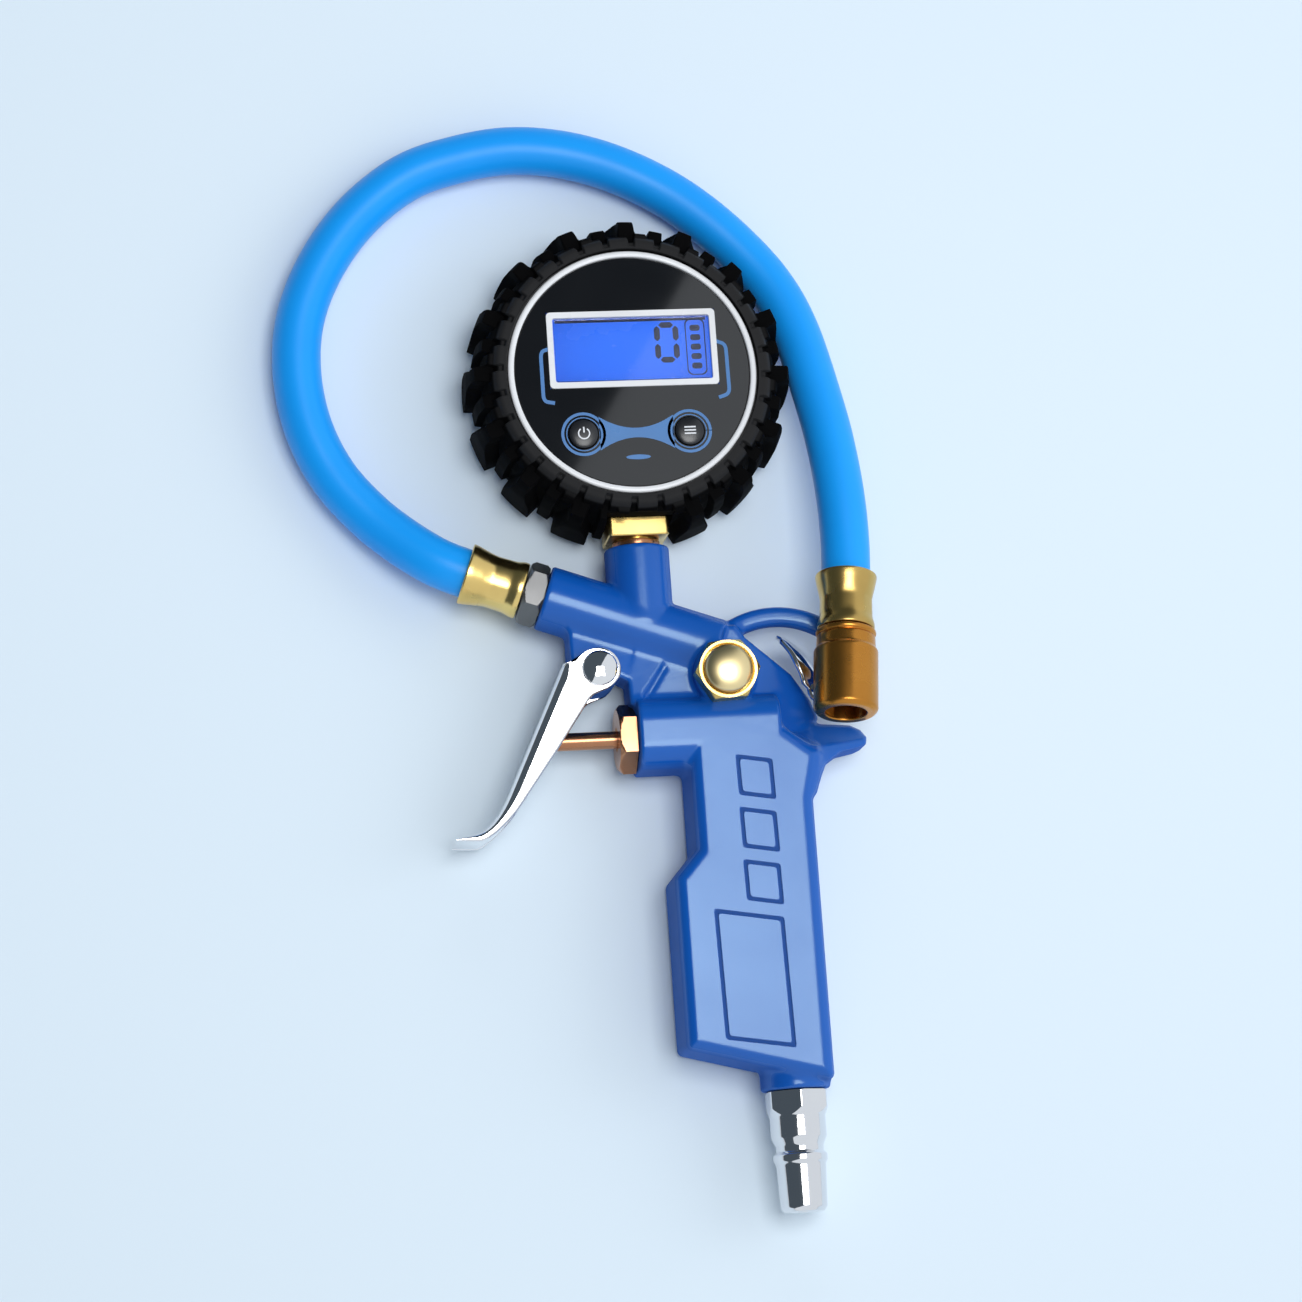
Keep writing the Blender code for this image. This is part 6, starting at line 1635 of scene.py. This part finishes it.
# ---------------- hose and chuck
@dataclass
class HoseLine:
    """The hose with its two ferrules, the swaged fitting and the clip-on chuck."""

    datums: Datums
    nodes: dict[str, Piece]
    port: Pair = (-0.0236, -0.0523)
    port_slope: float = radians(20.0)
    ferrule_start: float = 0.0054
    ferrule_length: float = 0.0145
    hose_radius: float = 0.0060
    entry: float = 0.0024
    tail: Triple = (0.04994, -0.05177, 0.01903)
    mouth: Triple = (0.0461, -0.0866, 0.0245)
    chuck_ferrule: float = 0.0141
    chuck_radius: float = 0.00785

    ROUTE = (
        (-0.0486, -0.0426, 0.0101), (-0.0543, -0.0386, 0.0088), (-0.0595, -0.0342, 0.0075),
        (-0.0642, -0.0297, 0.0066), (-0.0723, -0.0197, 0.0060), (-0.0779, -0.0076, 0.0060),
        (-0.0803, 0.0060, 0.0060), (-0.0792, 0.0201, 0.0060), (-0.0737, 0.0339, 0.0060),
        (-0.0638, 0.0473, 0.0060), (-0.0505, 0.0575, 0.0060), (-0.0376, 0.0618, 0.0060),
        (-0.0254, 0.0637, 0.0060), (-0.0136, 0.0629, 0.0060), (-0.0026, 0.0601, 0.0060),
        (0.0075, 0.0557, 0.0060), (0.0167, 0.0501, 0.0060), (0.0251, 0.0432, 0.0060),
        (0.0322, 0.0358, 0.0062), (0.0377, 0.0286, 0.0068), (0.0415, 0.0214, 0.0078),
        (0.0442, 0.0136, 0.0091), (0.0461, 0.0050, 0.0107), (0.0477, -0.0040, 0.0124),
        (0.0492, -0.0135, 0.0141), (0.0502, -0.0235, 0.0157), (0.0507, -0.0333, 0.0170),
        (0.0506, -0.0430, 0.0180),
    )

    def build(self) -> None:
        """Build the fitting, ferrules and chuck, then the hose."""
        self.slope = np.array([cos(self.port_slope), -sin(self.port_slope), 0.0])
        self.face = self.datums.at(*self.port)
        self.chuck_start = self.datums.gauge + np.array(self.tail)
        self.chuck_end = self.datums.gauge + np.array(self.mouth)
        self.forward = unit(self.chuck_end - self.chuck_start)
        self.build_fitting()
        on_hose = [
            self.build_ferrule("chuck_ferrule_piece", self.chuck_ferrule,
                               self.chuck_start + self.forward * self.chuck_ferrule, -self.forward,
                               "chuck_ferrule", DARK_BRASS)
        ]
        self.build_ferrule("inlet_ferrule_piece", self.ferrule_length,
                           self.face - self.slope * self.ferrule_start, -self.slope, "inlet_ferrule", BRASS)
        on_hose += self.build_chuck()
        self.build_hose()

    def build_ferrule(self, name: str, length: float, place: Array, axis: Array, node: str,
                      finish: Surface) -> Piece:
        """A crimped ferrule: flared mouth, waist with crimp marks, and a collar."""
        mouth = self.hose_radius + 0.0002
        ring = soften([
            (0.0031, 0.0), (0.0070, 0.0), (0.0070, length * 0.10), (0.0065, length * 0.22),
            (0.0064, length * 0.55), (0.0067, length * 0.68), (0.0074, length * 0.90), (0.0076, length),
            (mouth, length), (mouth, length - self.entry - 0.0004), (0.0031, length - self.entry - 0.0004),
            (0.0031, 0.0),
        ], 0.0005)

        def crimp(angle: Array, height: Array) -> Array:
            """Eight shallow crimps round the waist."""
            band = soft_band(height, length * 0.16, length * 0.74, length * 0.16)
            outside = (densified[:, 0] > 0.0063)[:, None]
            return -0.00012 * band * outside * (0.5 + 0.5 * np.cos(angle * 8.0))

        densified = densify(ring, 0.0004)
        mesh = turned_mesh(name, densified, place, axis, 112, relief=crimp)
        return place_piece(name, mesh, finish, Body.TOOL, node)

    def build_fitting(self) -> None:
        """The swaged fitting's hexagon and thread."""
        half, length = 0.0070, 0.0048
        outer = half / cos(pi / 6.0)
        ring = np.array(
            [(0.0015, 0.0100), (0.0015, -0.0170), (0.0028, -0.0170), (0.0028, -length),
             (outer * 0.87, -length), (outer, -length + 0.0010), (outer, -0.0008), (outer * 0.9, 0.0),
             (0.0047, 0.0), (0.0047, 0.0100), (0.0015, 0.0100)]
        )
        flats = Hexagon(half, -length - 0.0001, 0.0001, phase=pi / 2.0)
        mesh = turned_mesh("swaged_fitting", densify(ring, 0.0003), self.face - self.slope * 0.0003,
                           self.slope, 144, flats, sharp=25.0)
        place_piece("swaged_fitting", mesh, NICKEL, Body.TOOL, "inlet_fitting")

    def build_chuck(self) -> list[Piece]:
        """The chuck's body, seal, depressor, pin and clip."""
        length = float(np.linalg.norm(self.chuck_end - self.chuck_start))
        neck = self.chuck_ferrule + 0.0003
        radius = self.chuck_radius
        ring = soften([
            (0.0014, 0.0030), (0.0028, 0.0030), (0.0028, neck), (0.0070, neck), (0.0074, neck + 0.0004),
            (0.0073, neck + 0.0011), (0.0068, neck + 0.0014), (radius - 0.0007, neck + 0.0019),
            (radius - 0.0006, neck + 0.0046), (radius, neck + 0.0053), (radius, length - 0.0009),
            (radius - 0.0009, length), (0.0050, length), (0.0050, length - 0.0110), (0.0014, length - 0.0110),
            (0.0014, 0.0030),
        ], 0.00035)
        mesh = turned_mesh("chuck", densify(ring, 0.0005), self.chuck_start, self.forward, 112)
        body = place_piece("chuck", mesh, CHUCK_BRASS, Body.TOOL, "chuck_body")
        pieces = [body]
        out = self.clip_out()
        across = np.cross(self.forward, out)
        middle = self.chuck_start + self.forward * (length - 0.0055) + out * 0.0070
        corners = np.array(
            [[a, b, c] for a in (-0.0050, 0.0050) for b in (-0.0029, 0.0029) for c in (-0.0022, 0.0022)]
        )
        slot = mesh_of("slot", middle + corners @ np.array([self.forward, out, across]), BOX_FACES)
        cut_out(body, slot)
        pieces.append(self.build_clip(length, out, across))
        for node, finish in (("chuck_seal", SEAL_RUBBER), ("chuck_depressor", BRASS), ("clip_pin", STEEL)):
            pieces.append(dress_node(self.nodes[node], finish))
        return pieces

    def clip_out(self) -> Array:
        """The direction from the chuck's axis to its clip."""
        turn = radians(-40.0)
        side = unit(np.cross(self.forward, (0.0, 0.0, 1.0)))
        over = np.cross(side, self.forward)
        return unit(side * cos(turn) + over * sin(turn))

    def build_clip(self, length: float, out: Array, across: Array) -> Piece:
        """The thumb lever: a curved scoop that narrows to the claw in the chuck's slot."""
        pivot = self.chuck_start + self.forward * (length - 0.0065) + out * 0.0066
        reach = 0.00185
        path = soften(
            [(0.0024, -0.0008), (0.0016, reach + 0.0004), (-0.0050, reach + 0.0018), (-0.0098, reach + 0.0040),
             (-0.0135, reach + 0.0071), (-0.0149, reach + 0.0088)], 0.0022, 6
        )
        line = densify(path, 0.0007)
        travel = np.linspace(0.0, 1.0, len(line))
        half = np.where(line[:, 0] > -0.0016, 0.0017,
                        0.0055 * (0.72 + 0.28 * soft_step((travel - 0.25) / 0.4)))
        rows = []
        for share in np.linspace(-1.0, 1.0, 13):
            cup = 0.0009 * (1.0 - share ** 2) * soft_step((travel - 0.3) / 0.3)
            width = half * share * (1.0 - 0.25 * (np.abs(share) ** 3) * soft_step((travel - 0.85) / 0.15))
            rows.append(
                pivot + line[:, :1] * self.forward + (
                    line[:, 1] - cup
                )[:, None] * out + width[:, None] * across
            )
        points = np.stack(rows)
        mesh = mesh_of("thumb_lever", points.reshape(-1, 3), grid_faces(*points.shape[:2]), sharp=None)
        lever = place_piece("thumb_lever", mesh, CHROME, Body.CLIP, "chuck_clip")
        wall = lever.modifiers.new("sheet", "SOLIDIFY")
        wall.thickness = 0.0010
        wall.offset = 0.0
        return lever

    def build_hose(self) -> None:
        """The hose along its own route, as a bevelled curve."""
        leave = self.face - self.slope * (self.ferrule_start + self.ferrule_length)
        route = [leave + self.slope * self.entry, leave]
        route += [self.datums.gauge + np.array(p) for p in self.ROUTE]
        route += [self.chuck_start, self.chuck_start + self.forward * self.entry]
        points = smooth_route(np.array(route), 0.0022)
        curve = bpy.data.curves.new("blue_hose", "CURVE")
        curve.dimensions = "3D"
        curve.bevel_depth = self.hose_radius
        curve.bevel_resolution = 10
        curve.use_fill_caps = True
        curve.render_resolution_u = 0
        line = curve.splines.new("POLY")
        line.points.add(len(points) - 1)
        line.points.foreach_set("co", np.column_stack([points, np.ones(len(points))]).ravel())
        hose = bpy.data.objects.new("blue_hose", curve)
        bpy.context.scene.collection.objects.link(hose)
        finish = HoseRubber("hose_rubber", (0.006, 0.350, 0.960), (0.005, 0.325, 0.930), 0.0, (0.34, 0.42),
                            500.0, 0.000010, specular=0.30)
        curve.materials.append(finish.material())
        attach(hose, Body.TOOL.value)
        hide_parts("hose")


def knot_mix(knots: Array, low: int, high: int, t: Array, first: Array, last: Array) -> Array:
    """Mix two values by where t lies between two knots."""
    span = knots[high] - knots[low]
    return (knots[high] - t) / span * first + (t - knots[low]) / span * last


def smooth_route(route: Array, spacing: float) -> Array:
    """Points on a centripetal curve through a route, evenly spaced.

    Between two route points the curve is the usual pyramid of mixes with knots at the running sum
    of the square roots of the distances.
    """
    ends = [2.0 * route[0] - route[1], 2.0 * route[-1] - route[-2]]
    guide = np.concatenate([[ends[0]], route, [ends[1]]])
    dense = []
    for index in range(1, len(guide) - 2):
        p = guide[index - 1:index + 3]
        knots = np.concatenate([[0.0], np.cumsum(np.sqrt(np.linalg.norm(np.diff(p, axis=0), axis=1)))])
        t = np.linspace(knots[1], knots[2], 24, endpoint=False)[:, None]
        a = [knot_mix(knots, i, i + 1, t, p[i], p[i + 1]) for i in range(3)]
        b = [knot_mix(knots, i, i + 2, t, a[i], a[i + 1]) for i in range(2)]
        dense.append(knot_mix(knots, 1, 2, t, b[0], b[1]))
    line = np.concatenate(dense + [route[-1:]])
    total = float(np.sum(np.linalg.norm(np.diff(line, axis=0), axis=1)))
    return read_line(line, np.linspace(0.0, 1.0, int(total / spacing) + 1))


# ---------------- carried-over nodes
@dataclass
class Insides:
    """CAD nodes whose shape is right, which only get their finish."""

    nodes: dict[str, Piece]

    def build(self) -> None:
        """Give each such node its finish."""
        finishes = {
            STEEL: ("case_screw_1", "case_screw_2", "case_screw_3", "valve_spring", "bleed_spring",
                    "filter_screen", "pressure_sensor", "battery_contact_a", "battery_contact_b"),
            CASE_PLASTIC: ("case_front", "case_back", "battery_door", "power_switch", "mode_switch"),
            SEAL_RUBBER: ("stem_seal", "poppet_seal", "bleed_seal"),
            BRASS: ("valve_seat",),
            BOARD: ("circuit_board",),
            CELL_WRAP: ("battery_1", "battery_2"),
        }
        for finish, names in finishes.items():
            for name in names:
                dress_node(self.nodes[name], finish)


# ---------------- studio
@dataclass
class Studio:
    """Camera at the photograph's angle, pale floor, soft lights and a pale surround."""

    datums: Datums
    distance: float = 0.88
    lens: float = 100.0
    sensor: float = 36.0
    roll: float = radians(4.0)
    back: Triple = (-0.144, -0.196, 0.970)
    picture: float = 1302.0
    face_pixel: Pair = (632.7, 371.1)
    face_height: float = 0.0255
    floor_half: float = 6.0
    floor_z: float = -0.0008
    floor_colour: Four = (0.74, 0.85, 0.94, 1.0)
    surround_plane: Pair = (-0.636, 0.0329)
    surround_dark: Triple = (0.07, 0.09, 0.11)
    surround_bright: Triple = (0.78, 0.83, 0.88)

    def build(self) -> None:
        """Set the camera, the floor, the lamps and the world."""
        self.build_camera()
        self.build_floor()
        self.build_lamps()
        self.build_world()
        bpy.context.scene.view_settings.view_transform = "Standard"

    def build_camera(self) -> None:
        """Place the camera so that the gauge's face falls on its own pixel of the picture."""
        back = unit(self.back)
        right = unit(np.cross((0.0, 1.0, 0.0), back))
        up = np.cross(back, right)
        right, up = cos(self.roll) * right - sin(self.roll) * up, cos(self.roll) * up + sin(self.roll) * right
        focal = self.lens / self.sensor * self.picture
        half = self.picture / 2.0
        ray = -back + (self.face_pixel[0] - half) / focal * right + (half - self.face_pixel[1]) / focal * up
        spot = self.datums.at(0.0, 0.0, self.face_height)
        data = bpy.data.cameras.new("camera")
        data.lens = self.lens
        data.sensor_width = self.sensor
        data.clip_start = 0.05
        data.clip_end = 20.0
        camera = bpy.data.objects.new("camera", data)
        bpy.context.scene.collection.objects.link(camera)
        camera.matrix_world = Matrix.Translation(
            Vector(spot - ray * self.distance)
        ) @ Matrix((right, up, back)).transposed().to_4x4()
        bpy.context.scene.camera = camera

    def build_floor(self) -> None:
        """A pale floor that reaches to the horizon of every view and keeps the tool's shadow."""
        corners = np.array(
            [(-1.0, -1.0, 0.0), (1.0, -1.0, 0.0), (1.0, 1.0, 0.0), (-1.0, 1.0, 0.0)]
        ) * self.floor_half
        corners += [0.0, 0.0, self.floor_z]
        mesh = mesh_of("floor", corners, np.array([[0, 1, 2, 3]]))
        floor = bpy.data.objects.new("floor", mesh)
        bpy.context.scene.collection.objects.link(floor)
        made = bpy.data.materials.new("pale_floor")
        made.use_nodes = True
        shader = made.node_tree.nodes["Principled BSDF"]
        socket(shader, "Base Color").default_value = self.floor_colour
        socket(shader, "Roughness").default_value = 0.8
        mesh.materials.append(made)

    def build_lamps(self) -> None:
        """An overhead softbox that the flats mirror, a key from the right and a fill from the top."""
        target = self.datums.at(0.0, 0.0, 0.0)
        for name, offset, aim, size, power, mirrored in (
            ("softbox", (0.075, -0.085, 1.00), (0.075, -0.085), (0.45, 0.43), 4.8, True),
            ("key", (0.95, 0.02, 0.62), (0.0, -0.05), (0.50, 0.60), 1.6, False),
            ("fill", (0.10, 0.95, 0.60), (0.0, -0.05), (0.80, 0.40), 1.2, False),
        ):
            data = bpy.data.lights.new(name, "AREA")
            data.shape = "RECTANGLE"
            data.size, data.size_y = size
            data.energy = power
            lamp = bpy.data.objects.new(name, data)
            lamp.visible_glossy = mirrored
            bpy.context.scene.collection.objects.link(lamp)
            place = Vector(target) + Vector(offset)
            look = Vector(target) + Vector((*aim, 0.0)) - place
            lamp.matrix_world = Matrix.Translation(place) @ look.to_track_quat("-Z", "Y").to_matrix().to_4x4()

    def build_world(self) -> None:
        """A surround that is bright on the right, dark on the left and pale at the horizon.

        The bright share at a direction is a ramp of its distance to a plane through the middle,
        which passes through the direction that the gauge's face mirrors to the camera. A band at
        the horizon is pale all round.
        """
        world = bpy.data.worlds.new("surround")
        bpy.context.scene.world = world
        world.use_nodes = True
        tree = world.node_tree
        background = tree.nodes["Background"]
        parts = parts_of(tree, tree.nodes.new("ShaderNodeTexCoord").outputs["Generated"])
        plane_y, plane_z = self.surround_plane
        side = maths(tree, "MULTIPLY_ADD", parts["Y"], plane_y, parts["X"])
        side = maths(tree, "MULTIPLY_ADD", parts["Z"], plane_z, side)
        bright = maths(tree, "MULTIPLY_ADD", side, 600.0, 0.5, clamp=True)
        low = maths(tree, "MULTIPLY_ADD", maths(tree, "ABSOLUTE", parts["Z"]), -40.0, 2.2, clamp=True)
        share = maths(tree, "MAXIMUM", bright, low)
        colour = mix_colour(tree, share, self.surround_dark, self.surround_bright)
        tree.links.new(colour, background.inputs["Color"])
        background.inputs["Strength"].default_value = 1.0


def main() -> None:
    """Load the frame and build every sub-assembly in order."""
    logging.basicConfig(level=logging.INFO, format="%(name)s: %(message)s")
    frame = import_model()
    datums = Datums.read()
    Studio(datums).build()
    HoseLine(datums, frame["nodes"]).build()
    Casting(datums).build()
    Trigger(datums).build()
    Valves(datums).build()
    AirPlug(datums).build()
    Boot(datums).build()
    Face(datums, frame["nodes"]).build()
    GaugeStem(datums).build()
    Insides(frame["nodes"]).build()
    LOG.info("sizes written")


if __name__ == "__main__":
    main()
